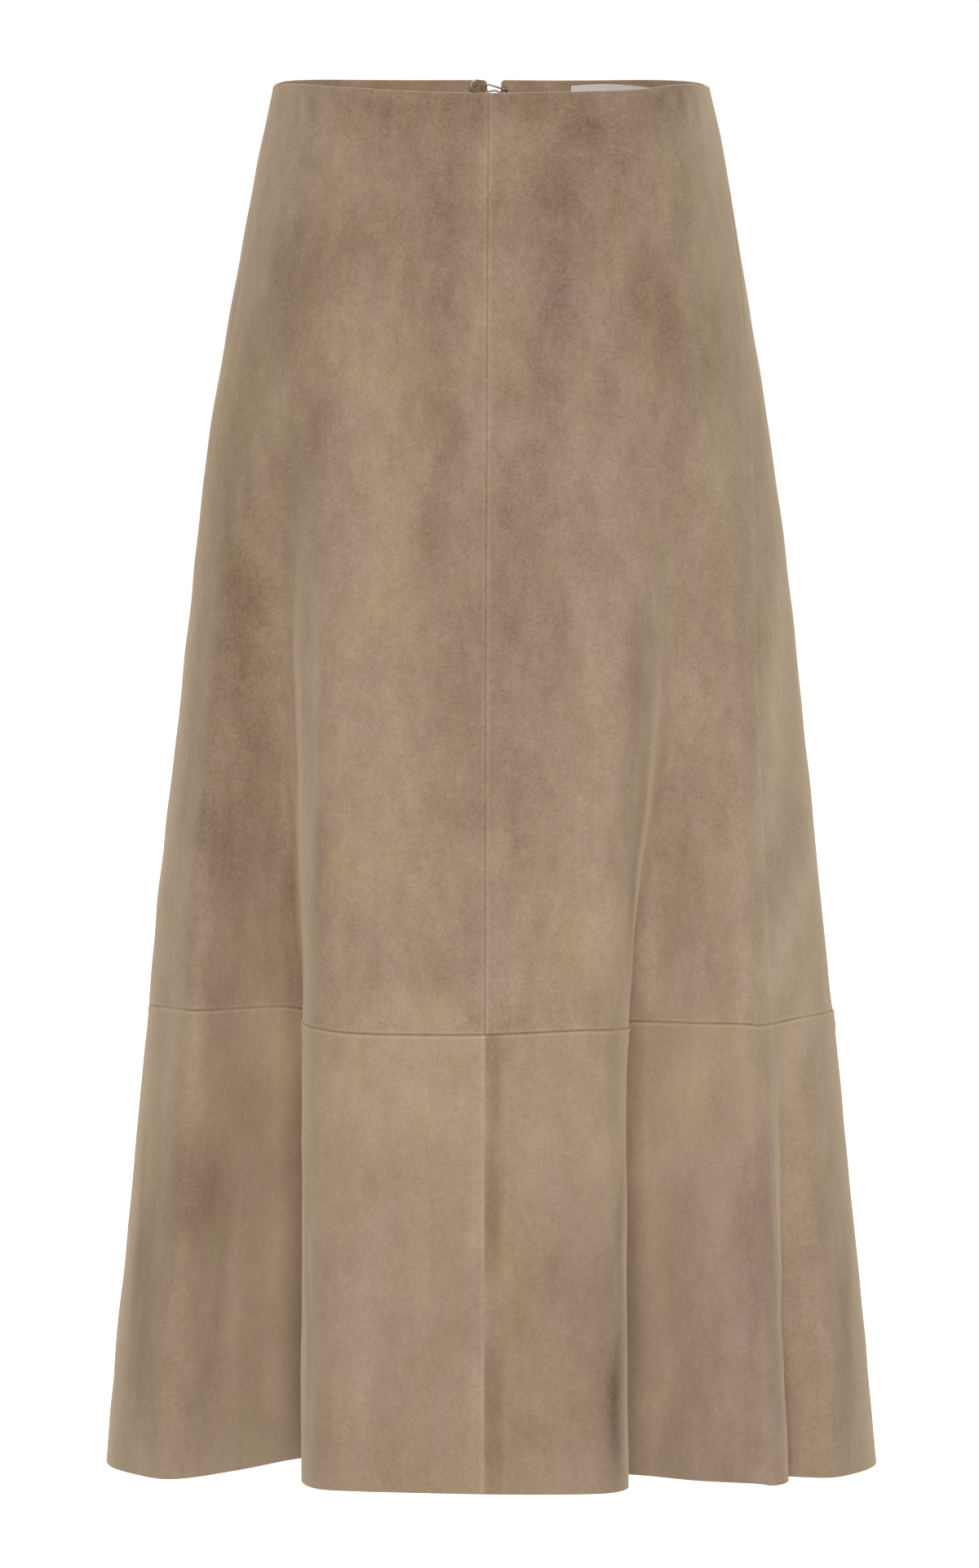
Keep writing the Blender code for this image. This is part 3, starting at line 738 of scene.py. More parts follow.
def suedeMaterial():
    # sanded suede: matt, mottled, with a light bloom where the nap is seen side on
    made, tree, shader = newMaterial("sandedSuede")
    place = addNode(tree, "TexCoord").outputs["Object"]
    hanging = addNode(tree, "Mapping", {"Vector": place, "Scale": (1, 1, 0.5)})
    # the tone attribute holds the nap's own tone and the painted light and shade laid on the cloth
    tone, hue, mottle = (addNode(tree, "Attribute", attribute_name=layer).outputs["Fac"]
                         for layer in ("napTone", "napHue", "napMottle"))
    noises = {}
    for name, vector, detail in (("cloud", hanging, 1), ("blotch", hanging, 2), ("stroke", hanging, 1),
                                 ("tuft", place, 1), ("grain", place, 0)):
        noise = addNode(tree, "TexNoise", {"Vector": vector, "Scale": 1 / suede[name + "Size"],
                                           "Detail": detail})
        noises[name] = noise
        amount = suede[name + "Tone"]
        centred = addNode(tree, "Math", {0: noise, 1: amount, 2: -0.5 * amount}, operation="MULTIPLY_ADD")
        tone = addNode(tree, "Math", {0: mottle, 1: centred, 2: tone}, operation="MULTIPLY_ADD")
        if name + "Hue" in suede:
            amount = suede[name + "Hue"]
            other = addNode(tree, "SeparateColor", {"Color": noise.outputs["Color"]}).outputs[1]
            centred = addNode(tree, "Math", {0: other, 1: amount, 2: -0.5 * amount}, operation="MULTIPLY_ADD")
            hue = addNode(tree, "Math", {0: hue, 1: centred}, operation="ADD")
    share = addNode(tree, "MapRange", {"Value": hue, "From Min": -1.0, "From Max": 1.0})
    tint = addNode(tree, "Mix", {0: share, 6: linearColour(suede["olive"]), 7: linearColour(suede["pink"])},
                   data_type="RGBA").outputs[2]
    bright = addNode(tree, "VectorMath", {0: tone, 1: suede["deepening"], 2: (1, 1, 1)},
                     operation="MULTIPLY_ADD")
    tint = addNode(tree, "VectorMath", {0: tint, 1: bright}, operation="MULTIPLY")
    soft = addNode(tree, "Bump", {"Height": noises["stroke"], "Strength": 0.3, "Distance": 0.8 * mm})
    fine = addNode(tree, "Bump", {"Height": noises["grain"], "Strength": 0.5, "Distance": 0.35 * mm,
                                  "Normal": soft})
    setInputs(tree, shader, {"Base Color": tint, "Roughness": 0.92, "Specular IOR Level": 0.25,
                             "Sheen Weight": 1.0, "Sheen Roughness": 0.6,
                             "Sheen Tint": linearColour(suede["bloom"]), "Normal": fine})
    return made


finishes = {                        # colour, size of the pattern, roughness and sheen
    "polyesterTape": ("#a08b76", 0.55 * mm, 0.55, 0.5),         # woven: ribs that catch the light
    "wovenSatin": ("#e3dbd5", 0.28 * mm, 0.5, 0.15),            # finer: nearly smooth, drawn coarser
    "nylonMonofilament": ("#a5907a", 1.2 * mm, 0.42, 0.0),      # drawn: a soft plastic gleam
    "spunPolyesterThread": ("#9c8873", 0.5 * mm, 0.75, 0.3),    # spun: matt, a little fuzzy
    "zincAlloy": ("#9c8a74", 2.0 * mm, 0.34, 0.0),              # cast and plated: satin
    "nickelPlatedSteel": ("#8f857a", 1.2 * mm, 0.34, 0.0),      # drawn wire, plated: softly bright
}


def metalMaterial(name):
    # handled metal, rubbed duller in places
    made, tree, shader = newMaterial(name)
    colour, scratch, roughness, _ = finishes[name]
    place = addNode(tree, "TexCoord").outputs["Object"]
    rub = addNode(tree, "TexNoise", {"Vector": place, "Scale": 1 / scratch, "Detail": 3})
    rough = addNode(tree, "MapRange", {"Value": rub, "To Min": roughness - 0.08, "To Max": roughness + 0.12})
    setInputs(tree, shader, {"Base Color": linearColour(colour), "Metallic": 1.0, "Roughness": rough})
    return made


def fibreMaterial(name):
    # drawn or spun fibre, whose dye and gloss vary a little along it
    made, tree, shader = newMaterial(name)
    colour, streak, roughness, sheen = finishes[name]
    place = addNode(tree, "TexCoord").outputs["Object"]
    dye = addNode(tree, "TexNoise", {"Vector": place, "Scale": 1 / streak, "Detail": 2})
    tint = addNode(tree, "Mix", {0: dye, 6: linearColour(colour, 0.74), 7: linearColour(colour, 1.22)},
                   data_type="RGBA").outputs[2]
    rough = addNode(tree, "MapRange", {"Value": dye, "To Min": roughness - 0.08, "To Max": roughness + 0.08})
    setInputs(tree, shader, {"Base Color": tint, "Roughness": rough, "IOR": 1.53, "Sheen Weight": sheen})
    return made


def wovenMaterial(name):
    # fine polyester threads over and under each other, with painted shade where they lie low
    made, tree, shader = newMaterial(name)
    colour, threadSize, roughness, sheen = finishes[name]
    place = addNode(tree, "TexCoord").outputs["Object"]
    # a wave of this texture is 0.314 over its scale long
    warp, weft = (addNode(tree, "TexWave", {"Vector": place, "Scale": 0.314 / threadSize, "Distortion": 0.4},
                          bands_direction=axis).outputs["Fac"] for axis in "XZ")
    height = addNode(tree, "Math", {0: warp, 1: weft}, operation="MULTIPLY")
    # painted shade: darker where the weave lies low between the threads
    tint = addNode(tree, "Mix", {0: height, 6: linearColour(colour, 0.82), 7: linearColour(colour)},
                   data_type="RGBA").outputs[2]
    bump = addNode(tree, "Bump", {"Height": height, "Strength": 0.5, "Distance": 0.15 * mm})
    setInputs(tree, shader, {"Base Color": tint, "Roughness": roughness, "Sheen Weight": sheen,
                             "Normal": bump})
    return made


def patchMaterial():
    # a scrap of darker suede, cut round: matt, with painted shade in the dented holes where it is sewn
    made, tree, shader = newMaterial("brownSuedePatch")
    place = addNode(tree, "TexCoord").outputs["Object"]
    nap = addNode(tree, "TexNoise", {"Vector": place, "Scale": 1 / hookPatch["napSize"], "Detail": 4})
    dark, pale = (linearColour(hookPatch[shade]) for shade in ("dark", "pale"))
    tint = addNode(tree, "Mix", {0: nap, 6: dark, 7: pale}, data_type="RGBA").outputs[2]
    hollow = addNode(tree, "Attribute", attribute_name="hollow").outputs["Fac"]
    # painted shade: the tint falls to 0.12 of itself in the dented stitch holes
    lit = addNode(tree, "MapRange", {"Value": hollow, "From Min": 0.1, "From Max": 0.6, "To Min": 1.0,
                                     "To Max": 0.12})
    tint = addNode(tree, "VectorMath", {0: tint, 1: lit}, operation="MULTIPLY")
    bump = addNode(tree, "Bump", {"Height": nap, "Strength": 0.5, "Distance": 0.25 * mm})
    setInputs(tree, shader, {"Base Color": tint, "Roughness": 0.9, "Sheen Weight": 0.2, "Normal": bump})
    return made


wrongSide = {"tone": -0.16, "hue": -0.3, "share": 0.5}      # the flesh side, darker and less brushed
hides = {                                       # how blotchy each hide is, its tone and its hue
    ("front", "upper"): (1.1, -0.06, 0.15),
    ("front", "lower"): (0.85, 0.0, 0.1),
    ("back", "upper"): (1.1, -0.05, 0.1),
    ("back", "lower"): (1.0, 0.0, 0.2),
}


def makePanels():
    look = suedeMaterial()
    outer, inner, tone, hue = clothFaces()
    joined, rounded = closure["hairGap"] / 4, seamFinish["edgeRadius"]
    rowSpans = {"upper": slice(0, skirt.seamRow + 1), "lower": slice(skirt.seamRow, skirt.lastRow + 1)}
    for gore, (first, last) in zip(gores, skirt.goreSpans):
        for tier, rows in rowSpans.items():
            name = "_".join((gore.side, tier, gore.hand))
            part = (rows, slice(first, last + 1))
            bulges = (rounded, joined, joined) if tier == "upper" else (joined, rounded, joined)
            blotchy, hideTone, hideHue = hides[gore.side, tier]
            # the tone carries painted light and shade, and half of it goes onto the wrong side
            napTone = tone[part] + hideTone, tone[part] * wrongSide["share"] + wrongSide["tone"]
            napHue = hue[part] + hideHue, hue[part] * wrongSide["share"] + wrongSide["hue"]
            mottle = np.full(tone[part].shape, blotchy)
            sheet = closedSheet(name, outer[part], inner[part], bulges, napTone=napTone, napHue=napHue,
                                napMottle=(mottle, mottle))
            made = addPiece("suede_" + name, sheet, look, name)


backStrip = {
    "reach": 130 * mm,              # to either side of the centre back
    "deep": 216 * mm,
    "step": 2 * mm,
    "stations": 12,                 # to either side, enough to cover its reach
    "samples": 2401,
}


class BackStrip:
    # the inner face beside the centre back: along it to the wearer's right, and down it
    def __init__(self):
        reach, self.step = backStrip["reach"], backStrip["step"]
        self.alongs = np.arange(-reach, reach + self.step / 2, self.step)
        self.depths = np.arange(-self.step, backStrip["deep"], self.step)
        fullLength = (levels[0].seam - levels[0].waist) * mm
        numbers = np.linspace(-backStrip["stations"], backStrip["stations"], backStrip["samples"])
        rows = ringPoints(stationKnots(0, self.depths / fullLength), numbers)
        lengths = lengthsAlong(rows, 1)
        lengths -= lengths[:, len(numbers) // 2][:, None]
        self.points = np.array([pointsAt(self.alongs, *row) for row in zip(lengths, rows)])
        across = np.gradient(self.points, axis=1)
        down = np.gradient(self.points, axis=0)
        self.normals = unit(np.cross(down, across))

    def read(self, grid, along, depth):
        column = (along - self.alongs[0]) / self.step
        row = (depth - self.depths[0]) / self.step
        i = np.clip(row.astype(int), 0, grid.shape[0] - 2)
        k = np.clip(column.astype(int), 0, grid.shape[1] - 2)
        s, t = (row - i)[..., None], (column - k)[..., None]
        return ((1 - s) * ((1 - t) * grid[i, k] + t * grid[i, k + 1])
                + s * ((1 - t) * grid[i + 1, k] + t * grid[i + 1, k + 1]))

    def place(self, along, depth, out):
        # points a distance out of the inner face
        along, depth, out = np.broadcast_arrays(*(np.asarray(v, float) for v in (along, depth, out)))
        return self.read(self.points, along, depth) + self.read(self.normals, along, depth) * out[..., None]

    def frame(self, along, depth):
        # x along the cloth to the wearer's left, y out of the skirt, z up
        here, left, up = (Vector(self.place(*spot, 0)) for spot in (
            (along, depth), (along - self.step, depth), (along, depth - self.step)))
        left, up = (left - here).normalized(), (up - here).normalized()
        out = up.cross(left).normalized()
        return Matrix.Translation(here) @ Matrix((left, out, left.cross(out))).transposed().to_4x4()


def closeTube(points, sides):
    # quads round a tube from its rings of points, and a row of quads over each tip
    index = np.arange(len(points)).reshape(-1, sides)
    caps = [[ring[k], ring[k + 1], ring[sides - 2 - k], ring[sides - 1 - k]]
            for ring in (index[0, ::-1], index[-1]) for k in range(sides // 2 - 1)]
    return points, np.concatenate([gridQuads(index, closed=True, flip=True), caps])


def tubeArrays(path, radius, sides):
    # points and quads of a closed tube along a path; its radius may taper
    path = np.asarray(path, float)
    tangent = unit(np.gradient(path, axis=0))
    side = np.cross(tangent, [0.0, 0.0, 1.0])
    weak = np.linalg.norm(side, axis=1) < 0.2       # where the path runs nearly upright
    side[weak] = np.cross(tangent[weak], [0.0, 1.0, 0.0])
    side = unit(side)
    over = np.cross(side, tangent)
    turn = np.linspace(0, 2 * pi, sides, endpoint=False)
    radius = np.broadcast_to(radius, len(path))[:, None, None]
    rings = path[:, None] + radius * (np.cos(turn)[None, :, None] * side[:, None]
                                      + np.sin(turn)[None, :, None] * over[:, None])
    return closeTube(rings.reshape(-1, 3), sides)


def roundEnds(path, radius, steps=5):
    # a path drawn out by its radius at both ends, and the radius along it, for a domed tip
    path = np.asarray(path, float)
    lift = np.sin(np.linspace(0, pi / 2, steps))
    lift[-1] = 0.9995               # a hair short, so that the tip keeps a ring
    first = path[0] + unit(path[0] - path[1]) * radius * lift[::-1, None]
    last = path[-1] + unit(path[-1] - path[-2]) * radius * lift[:, None]
    thin = np.sqrt(1 - lift ** 2) * radius
    radii = np.concatenate([thin[::-1], np.full(len(path) - 2, radius), thin])
    return np.concatenate([first, path[1:-1], last]), radii


def smoothRoute(points, steps=8):
    # a smooth curve through a short route
    points = np.asarray(points, float)
    length = lengthsAlong(points[None], 1)[0]
    at = np.concatenate([np.linspace(a, b, steps, endpoint=False)
                         for a, b in zip(length[:-1], length[1:])] + [[length[-1]]])
    return np.stack([through(length, points[:, axis], at) for axis in range(3)], axis=1)


def movedBy(matrix, points):
    matrix = np.array(matrix)
    return np.asarray(points) @ matrix[:3, :3].T + matrix[:3, 3]


def wireArrays(path, radius, sides):
    path, radii = roundEnds(path, radius)
    return tubeArrays(path, radii, sides)


def addTubes(name, tubes, look, stands=None):
    # one piece from the points and quads of each tube
    starts = np.cumsum([0] + [len(points) for points, _ in tubes])
    quads = np.concatenate([tubeQuads + start for start, (_, tubeQuads) in zip(starts, tubes)])
    data = meshFromArrays(name, np.concatenate([points for points, _ in tubes]), quads)
    addPiece(name, data, look, stands)


zipSizes = {
    "top": 13 * mm,                 # below the waist
    "length": 190 * mm,
    "tapeFromSeam": 1.3 * mm,
    "tapeWidth": 12 * mm,
    "tapeThickness": 0.7 * mm,
    "tapeMesh": 1.2 * mm,
    "tapeRows": 150,
    "tapeEdge": 0.12 * mm,          # rounding
    "selvedge": 0.18 * mm,          # thicker cord woven along each edge
    "selvedgePlace": 0.6 * mm,
    "selvedgeWidth": 0.5 * mm,
    "chainTop": 25 * mm,
    "toothPitch": 1.5 * mm,
    "toothReach": 2.35 * mm,
    "toothOverlap": 0.35 * mm,      # past the middle, into the other half
    "turnSteps": 14,                # points in each turn of the coil
    "coilWire": 0.56 * mm,
    "coilDepth": 1.3 * mm,
    "sliderDepth": 19 * mm,
}


def sewnSheet(name, alongs, depths, outFace, inFace, edge, look, stands):
    # a thin strip of cloth between two heights over the back's inner face
    outer, inner = (strip.place(alongs, depths, face) for face in (outFace, inFace))
    made = addPiece(name, closedSheet(name, inner, outer, (edge,) * 3), look, stands)


def makeZipTapes():
    look = wovenMaterial("polyesterTape")
    base = -closure["liningGap"]
    wide, length = zipSizes["tapeWidth"], zipSizes["length"]
    depths = zipSizes["top"] + np.linspace(0, length, zipSizes["tapeRows"])[:, None]
    share = gradedShares(wide, zipSizes["tapeMesh"])
    fromEdge = np.minimum(share, 1 - share) * wide
    cord = np.exp(-((fromEdge - zipSizes["selvedgePlace"]) / zipSizes["selvedgeWidth"]) ** 2)
    thick = zipSizes["tapeThickness"] - 2 * zipSizes["selvedge"] + zipSizes["selvedge"] * cord
    for hand, sign in (("right", 1), ("left", -1)):
        alongs = np.sort((zipSizes["tapeFromSeam"] + share * wide) * sign)
        sewnSheet("tape_" + hand, alongs, depths, base, base - thick, zipSizes["tapeEdge"], look,
                  "zip_tape_" + hand)


def makeZipCoil():
    look = fibreMaterial("nylonMonofilament")
    foot, pitch = zipSizes["top"] + zipSizes["length"], zipSizes["toothPitch"]
    turns = int((foot - zipSizes["chainTop"]) / pitch)
    middle = -(closure["liningGap"] + zipSizes["tapeThickness"] + closure["layerGap"]
               + zipSizes["coilDepth"] / 2)
    angle = np.linspace(0, 2 * pi * turns, turns * zipSizes["turnSteps"])
    width = zipSizes["toothReach"] / 2
    out = middle + (zipSizes["coilDepth"] - zipSizes["coilWire"]) / 2 * np.sin(angle)
    tubes = []
    for sign in (1, -1):
        depth = zipSizes["chainTop"] + pitch / 2 * (sign > 0) + angle / (2 * pi) * pitch
        along = sign * (width - zipSizes["toothOverlap"] + width * np.cos(angle))
        path = strip.place(along, np.minimum(depth, foot), out)
        tubes.append(tubeArrays(path, zipSizes["coilWire"] / 2, 6))
    addTubes("zip_coil", tubes, look, "zip_chain")


thread = {
    "stitch": 2.6 * mm,
    "gap": 0.5 * mm,
    "radius": 0.13 * mm,
    "sunk": 0.1 * mm,               # into the tape
    "bow": 0.12 * mm,               # out of it at the middle of a stitch
    "fromEnd": 2 * mm,              # from either end of the tape
    "tapeShare": 0.55,              # of the way across the tape
}


def makeTapeStitches(look):
    # each tape is sewn to the allowance along its middle
    span = thread["stitch"] + thread["gap"]
    count = int((zipSizes["length"] - 2 * thread["fromEnd"]) / span)
    base = -(closure["liningGap"] + zipSizes["tapeThickness"] - thread["sunk"])
    share = np.linspace(0, 1, 7)
    out = base - thread["bow"] * np.sin(share * pi)
    tubes = []
    for sign in (1, -1):
        along = sign * (zipSizes["tapeFromSeam"] + thread["tapeShare"] * zipSizes["tapeWidth"])
        for top in zipSizes["top"] + thread["fromEnd"] + np.arange(count) * span:
            depth = top * (1 - share) + (top + thread["stitch"]) * share
            tubes.append(wireArrays(strip.place(along, depth, out), thread["radius"], 6))
    addTubes("tape_stitches", tubes, look)


def weld(data, distance, facing=False):
    # joins the points of a mesh that coincide, and turns its faces outwards where asked
    work = bmesh.new()
    work.from_mesh(data)
    bmesh.ops.remove_doubles(work, verts=work.verts, dist=distance)
    if facing:
        bmesh.ops.recalc_face_normals(work, faces=work.faces)
    work.to_mesh(data)
    work.free()


def plateMesh(name, outlines, thickness, rim):
    # a flat plate with a rounded rim, drawn as an outline across x and z and its holes
    curve = bpy.data.curves.new(name, "CURVE")
    curve.dimensions = "2D"
    curve.fill_mode = "BOTH"
    curve.extrude = thickness / 2 - rim
    curve.bevel_depth = rim
    curve.bevel_resolution = 3
    for points in outlines:
        line = curve.splines.new("POLY")
        line.points.add(len(points) - 1)
        for point, (x, z) in zip(line.points, points):
            point.co = (x, z, 0, 1)
        line.use_cyclic_u = True
    made = linkObject(name, curve)
    bpy.context.view_layer.update()
    done = bpy.data.meshes.new_from_object(made.evaluated_get(bpy.context.evaluated_depsgraph_get()))
    bpy.data.objects.remove(made)
    weld(done, 0.005 * mm)
    done.transform(Matrix.Rotation(radians(90), 4, "X"))
    done.name = name
    done.shade_smooth()
    done.set_sharp_from_angle(angle=radians(50))
    return done


def evenOutline(rightSide, steps=7):
    # closed outline from the corners of its right-hand side, each with a radius, all in mm
    rightSide = [[value * mm for value in row] for row in rightSide]
    leftSide = [(-across, *rest) for across, *rest in rightSide]
    rows = leftSide[:1] + rightSide + leftSide[:0:-1]
    corners = [Vector(row[:2]) for row in rows]
    points = []
    for k, (corner, (_, _, radius)) in enumerate(zip(corners, rows)):
        before = (corners[k - 1] - corner).normalized()
        after = (corners[(k + 1) % len(corners)] - corner).normalized()
        half = before.angle(after) / 2
        cut = radius / tan(half)
        middle = corner + (before + after).normalized() * (radius / sin(half))
        start = (corner + before * cut - middle).normalized()
        end = (corner + after * cut - middle).normalized()
        for s in np.linspace(0, 1, steps):
            points.append(tuple(middle + start.slerp(end, s) * radius))
    return points


pull = {                            # corners in mm: half width, place above the hinge, radius
    "corners": ((2.2, 0.42, 0.7), (1.75, -6.5, 6), (2.55, -20, 9), (2.55, -25, 2.3)),
    "hole": ((1.15, -0.5, 0.6), (1.15, -4.4, 1)),
    "thickness": 0.95 * mm,
    "rim": 0.22 * mm,
    "out": 2.95 * mm,               # its hinge, from the inner face
}

slider = {
    "corners": ((3.5, 5.3, 1.6), (2.7, -5.3, 1.1)),
    "thick": 2.6 * mm,
    "rim": 0.5 * mm,
    "inside": 2.15 * mm,            # its outer face, from the inner face of the cloth
    "bridgeFoot": 2.7 * mm,         # sunk into the body
    "bridgeHalf": 2.85 * mm,        # half the height of the bridge's middle line
    "bridgeReach": 4.2 * mm,
    "bridgeTurn": 1.3 * mm,
    "bridgeSection": ((0.65, -0.33, 0.18), (0.65, 0.33, 0.18)),
}


def makeSlider(look):
    spot = strip.frame(0, zipSizes["sliderDepth"])
    body = plateMesh("slider_body", [evenOutline(slider["corners"])], slider["thick"], slider["rim"])
    body.transform(spot @ Matrix.Translation((0, -slider["inside"] - slider["thick"] / 2, 0)))
    addPiece("zip_slider_body", body, look, "zip_slider")
    high, reach, turn = slider["bridgeHalf"], slider["bridgeReach"], slider["bridgeTurn"]
    bend = np.linspace(0, pi / 2, 9)
    upper = [(-slider["bridgeFoot"], high)]
    upper += [(reach - turn + turn * sin(a), high - turn + turn * cos(a)) for a in bend]
    path = np.array(upper + [(out, -up) for out, up in upper[::-1]])
    section = evenOutline(slider["bridgeSection"], 4)
    rings = [[(x, out + z * up, rise - z * outward) for x, z in section]
             for (out, rise), (outward, up) in zip(path, unit(np.gradient(path, axis=0)))]
    bridge = closeTube(movedBy(spot, np.array(rings).reshape(-1, 3)), len(section))
    addTubes("zip_slider_bridge", [bridge], look)


def makePull(look):
    outlines = [evenOutline(pull["corners"]), evenOutline(pull["hole"])]
    data = plateMesh("zip_pull_tab", outlines, pull["thickness"], pull["rim"])
    data.transform(strip.frame(0, zipSizes["sliderDepth"]) @ Matrix.Translation((0, pull["out"], 0)))
    addPiece("zip_pull_tab", data, look, "zip_pull", body="zip_pull")


hookBase = {
    "place": (10.8 * mm, 4.0 * mm),     # to the wearer's right of the centre back, and below the waist
    "radius": 4.4 * mm,
    "thickness": 0.9 * mm,
    "edge": 0.35 * mm,              # its rolled rim
    "backRoll": 0.6,                # share of that roll at its back
    "holes": (),
}

hookPatch = {
    "place": (9.8 * mm, 4.3 * mm),
    "radius": 4.5 * mm,
    "thickness": 1.0 * mm,
    "edge": 0.42 * mm,
    "backRoll": 0.6,
    "holes": ((-1.45 * mm, 0.25 * mm), (1.75 * mm, -0.85 * mm)),
    "holeRadius": 0.78 * mm,
    "holeDepth": 0.8 * mm,
    "threadRadius": 0.2 * mm,
    "threadShift": 0.16 * mm,       # two threads, side by side
    "threadSunk": 0.4 * mm,         # at the holes
    "threadBow": 0.62 * mm,         # and back out between them
    "dark": "#665038",
    "pale": "#94795a",
    "napSize": 1.1 * mm,
}

# thickness and middle line of each bent wire in mm: to the wearer's left, out of the skirt and up
wires = {
    "hook_wire": (1.2, (
        (-5.9, -1.25, -2.1), (-4.4, -1.25, -2.9), (-2.5, -1.3, -3.0), (0.6, -1.6, -3.9),
        (3.8, -2.25, -4.9), (6.3, -2.65, -5.7), (7.5, -2.2, -6.3), (7.7, -2.0, -6.8),
        (7.0, -2.4, -7.3), (5.6, -2.65, -7.6), (4.1, -2.3, -7.5), (2.2, -1.9, -6.8),
        (-0.3, -1.5, -6.5), (-2.8, -1.3, -6.9), (-4.5, -1.25, -7.5), (-5.9, -1.25, -7.6),
    )),
    "eye_wire": (0.8, ((6.2, -1.15, -3.9), (6.2, -1.45, -4.4), (6.2, -1.45, -8.7), (6.2, -1.15, -9.2))),
}


def makeDisc(name, disc, outFace, look, stands, rings=22, segments=72):
    # a round disc with a rolled rim and dented holes, its face towards the inside of the skirt
    share = np.concatenate([[0.0], np.linspace(0.06, 1, rings)])[:, None]
    turn = np.linspace(0, 2 * pi, segments, endpoint=False)
    across, up = share * disc["radius"] * np.cos(turn), share * disc["radius"] * np.sin(turn)
    drop = roundedEdge(disc["radius"] * (1 - share), disc["edge"]) + np.zeros(segments)
    dent = np.zeros_like(across)
    for holeAcross, holeUp in disc["holes"]:
        away = (across - holeAcross) ** 2 + (up - holeUp) ** 2
        dent += disc["holeDepth"] * np.exp(-away / disc["holeRadius"] ** 2)
    front = np.stack([across, outFace - (disc["thickness"] - drop - dent), up], axis=-1)
    back = np.stack([across, outFace - drop * disc["backRoll"], up], axis=-1)
    index = np.arange(dent.size).reshape(dent.shape)
    behind = index + dent.size
    rim = np.stack([index[-1], behind[-1]])
    quads = np.concatenate([gridQuads(index, closed=True), gridQuads(behind, closed=True)[:, ::-1],
                            gridQuads(rim, closed=True)])
    points = movedBy(strip.frame(*disc["place"]), np.concatenate([front.reshape(-1, 3), back.reshape(-1, 3)]))
    # dent depth in mm, which the patch's material turns into painted shade
    hollow = np.concatenate([dent.reshape(-1), np.zeros(dent.size)]) / mm
    data = meshFromArrays(name, points, quads, hollow=hollow)
    weld(data, 0.001 * mm, facing=True)
    addPiece(name, data, look, stands)


def makeHook(threadLook):
    steel = metalMaterial("nickelPlatedSteel")
    face = -closure["liningGap"]
    makeDisc("hook_base_disc", hookBase, face, steel, "hook_base")
    face -= hookBase["thickness"] + closure["layerGap"]
    makeDisc("hook_patch_disc", hookPatch, face, patchMaterial(), "hook_patch")
    for name, stands in (("hook_wire", "hook"), ("eye_wire", "eye_bar")):
        wide, route = wires[name]
        path = movedBy(strip.frame(0, 0), smoothRoute(np.array(route) * mm))
        addTubes(name, [wireArrays(path, wide * mm / 2, 14)], steel, stands)
    face -= hookPatch["thickness"]
    (across, up), (toAcross, toUp) = hookPatch["holes"]
    share = np.linspace(0, 1, 15)
    out = face + hookPatch["threadSunk"] - hookPatch["threadBow"] * np.sin(share * pi) ** 0.5
    tubes = []
    for shift in (-hookPatch["threadShift"], hookPatch["threadShift"]):
        line = np.stack([across * (1 - share) + toAcross * share, out,
                         (up + shift) * (1 - share) + (toUp + shift) * share], axis=1)
        path = movedBy(strip.frame(*hookPatch["place"]), line)
        tubes.append(wireArrays(path, hookPatch["threadRadius"], 8))
    addTubes("hook_stitches", tubes, threadLook)


label = {
    "start": 48 * mm,               # to the wearer's left of the centre back
    "width": 60 * mm,
    "height": 24 * mm,
    "thickness": 0.5 * mm,
    "mesh": 1.6 * mm,
    "edge": 0.2 * mm,               # rounding
    "edgeAlong": (0, 22, 50, 60),   # its top edge: mm along it, and under the waist edge
    "edgeDepth": (3.3, 2.4, 4.5, 5.6),
    "clear": 0.16 * mm,             # of the cloth behind it
    "ripple": 0.08 * mm,
    "rippleSize": 11 * mm,
    "rippleFade": 8 * mm,           # below its sewn top edge
}


def makeLabel():
    # left blank
    place = gradedShares(label["width"], label["mesh"]) * label["width"]
    top = through(label["edgeAlong"], label["edgeDepth"], place / mm) * mm
    down = gradedShares(label["height"], label["mesh"])[:, None] * label["height"]
    depths = (top + down)[:, ::-1]
    alongs = np.broadcast_to(-label["start"] - place, depths.shape)[:, ::-1]
    ripple = waves(np.stack([alongs, depths, 0 * alongs], axis=-1), label["rippleSize"], 91)
    ripple = label["ripple"] * np.abs(ripple) * smoothStep((depths - depths[0]) / label["rippleFade"])
    outFace = -closure["liningGap"] - label["clear"] - ripple
    sewnSheet("blank_label", alongs, depths, outFace, outFace - label["thickness"], label["edge"],
              wovenMaterial("wovenSatin"), "label")


camera = {
    "place": (-0.0008, -4.0, -0.25),
    "pitch": 2.4,                   # degrees downward
    "angle": 13.4,                  # of view, from top to foot
}


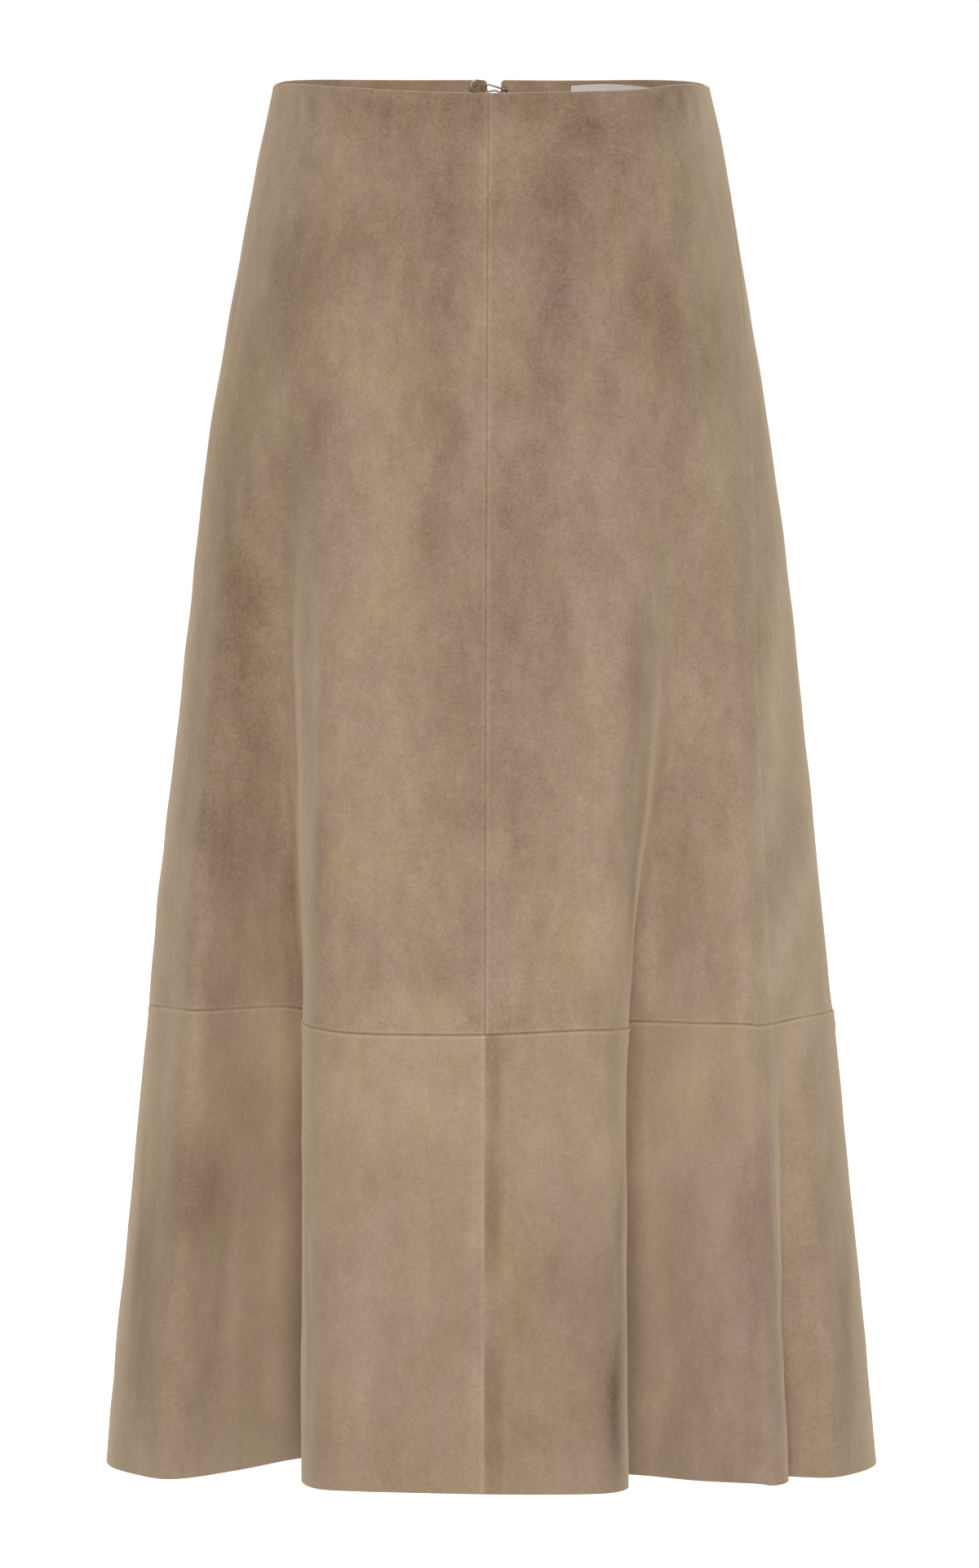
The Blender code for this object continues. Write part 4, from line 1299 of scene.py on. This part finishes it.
def makeCamera():
    data = bpy.data.cameras.new("camera")
    data.lens = data.sensor_width / 2 / tan(radians(camera["angle"] / 2))
    made = linkObject("camera", data)
    made.location = camera["place"]
    made.rotation_euler = (radians(90 - camera["pitch"]), 0, 0)
    bpy.context.scene.camera = made


studio = {
    "floorHeight": -1.3,
    "floorSize": 60,
    "paper": "#f4f4f3",
    "glow": 0.62,                   # lights the floor until it shows no horizon
    "white": 1.02,                  # the backdrop as the eye sees it
    "ambient": 0.34,                # and as it lights the cloth
    "softness": 30,
    "lights": (                     # large soft lights: degrees right of the camera, above it, strength
        ("front", 0, 8, 2.35),
        ("back", 180, 24, 1.6),
    ),
}


def makeStudio():
    world = bpy.data.worlds.new("studio")
    world.use_nodes = True
    tree = world.node_tree
    seen = addNode(tree, "LightPath").outputs["Is Camera Ray"]
    bright = addNode(tree, "MapRange", {"Value": seen, "To Min": studio["ambient"],
                                        "To Max": studio["white"]})
    setInputs(tree, tree.nodes["Background"], {"Color": (1, 1, 1, 1), "Strength": bright})
    bpy.context.scene.world = world
    for name, turn, height, strength in studio["lights"]:
        data = bpy.data.lights.new(name, "SUN")
        data.energy = strength
        data.angle = radians(studio["softness"])
        linkObject(name, data).rotation_euler = (radians(90 - height), 0, radians(turn))
    bpy.ops.mesh.primitive_plane_add(size=studio["floorSize"], location=(0, 0, studio["floorHeight"]))
    floor = bpy.context.object
    floor.name = "floor"
    floor.visible_diffuse = False
    look, tree, shader = newMaterial("paperFloor")      # matt white paper
    setInputs(tree, shader, {"Base Color": linearColour(studio["paper"]), "Roughness": 0.9,
                             "Emission Color": (1, 1, 1, 1), "Emission Strength": studio["glow"]})
    floor.data.materials.append(look)


makeCamera()
makeStudio()
print("camera and studio")
makePanels()
strip = BackStrip()
makeZipTapes()
makeZipCoil()
zipMetal = metalMaterial("zincAlloy")
makeSlider(zipMetal)
makePull(zipMetal)
threadLook = fibreMaterial("spunPolyesterThread")
makeTapeStitches(threadLook)
print("zip")
makeHook(threadLook)
print("hook and bar")
makeLabel()
print("label")
bpy.context.scene.view_settings.view_transform = "Standard"
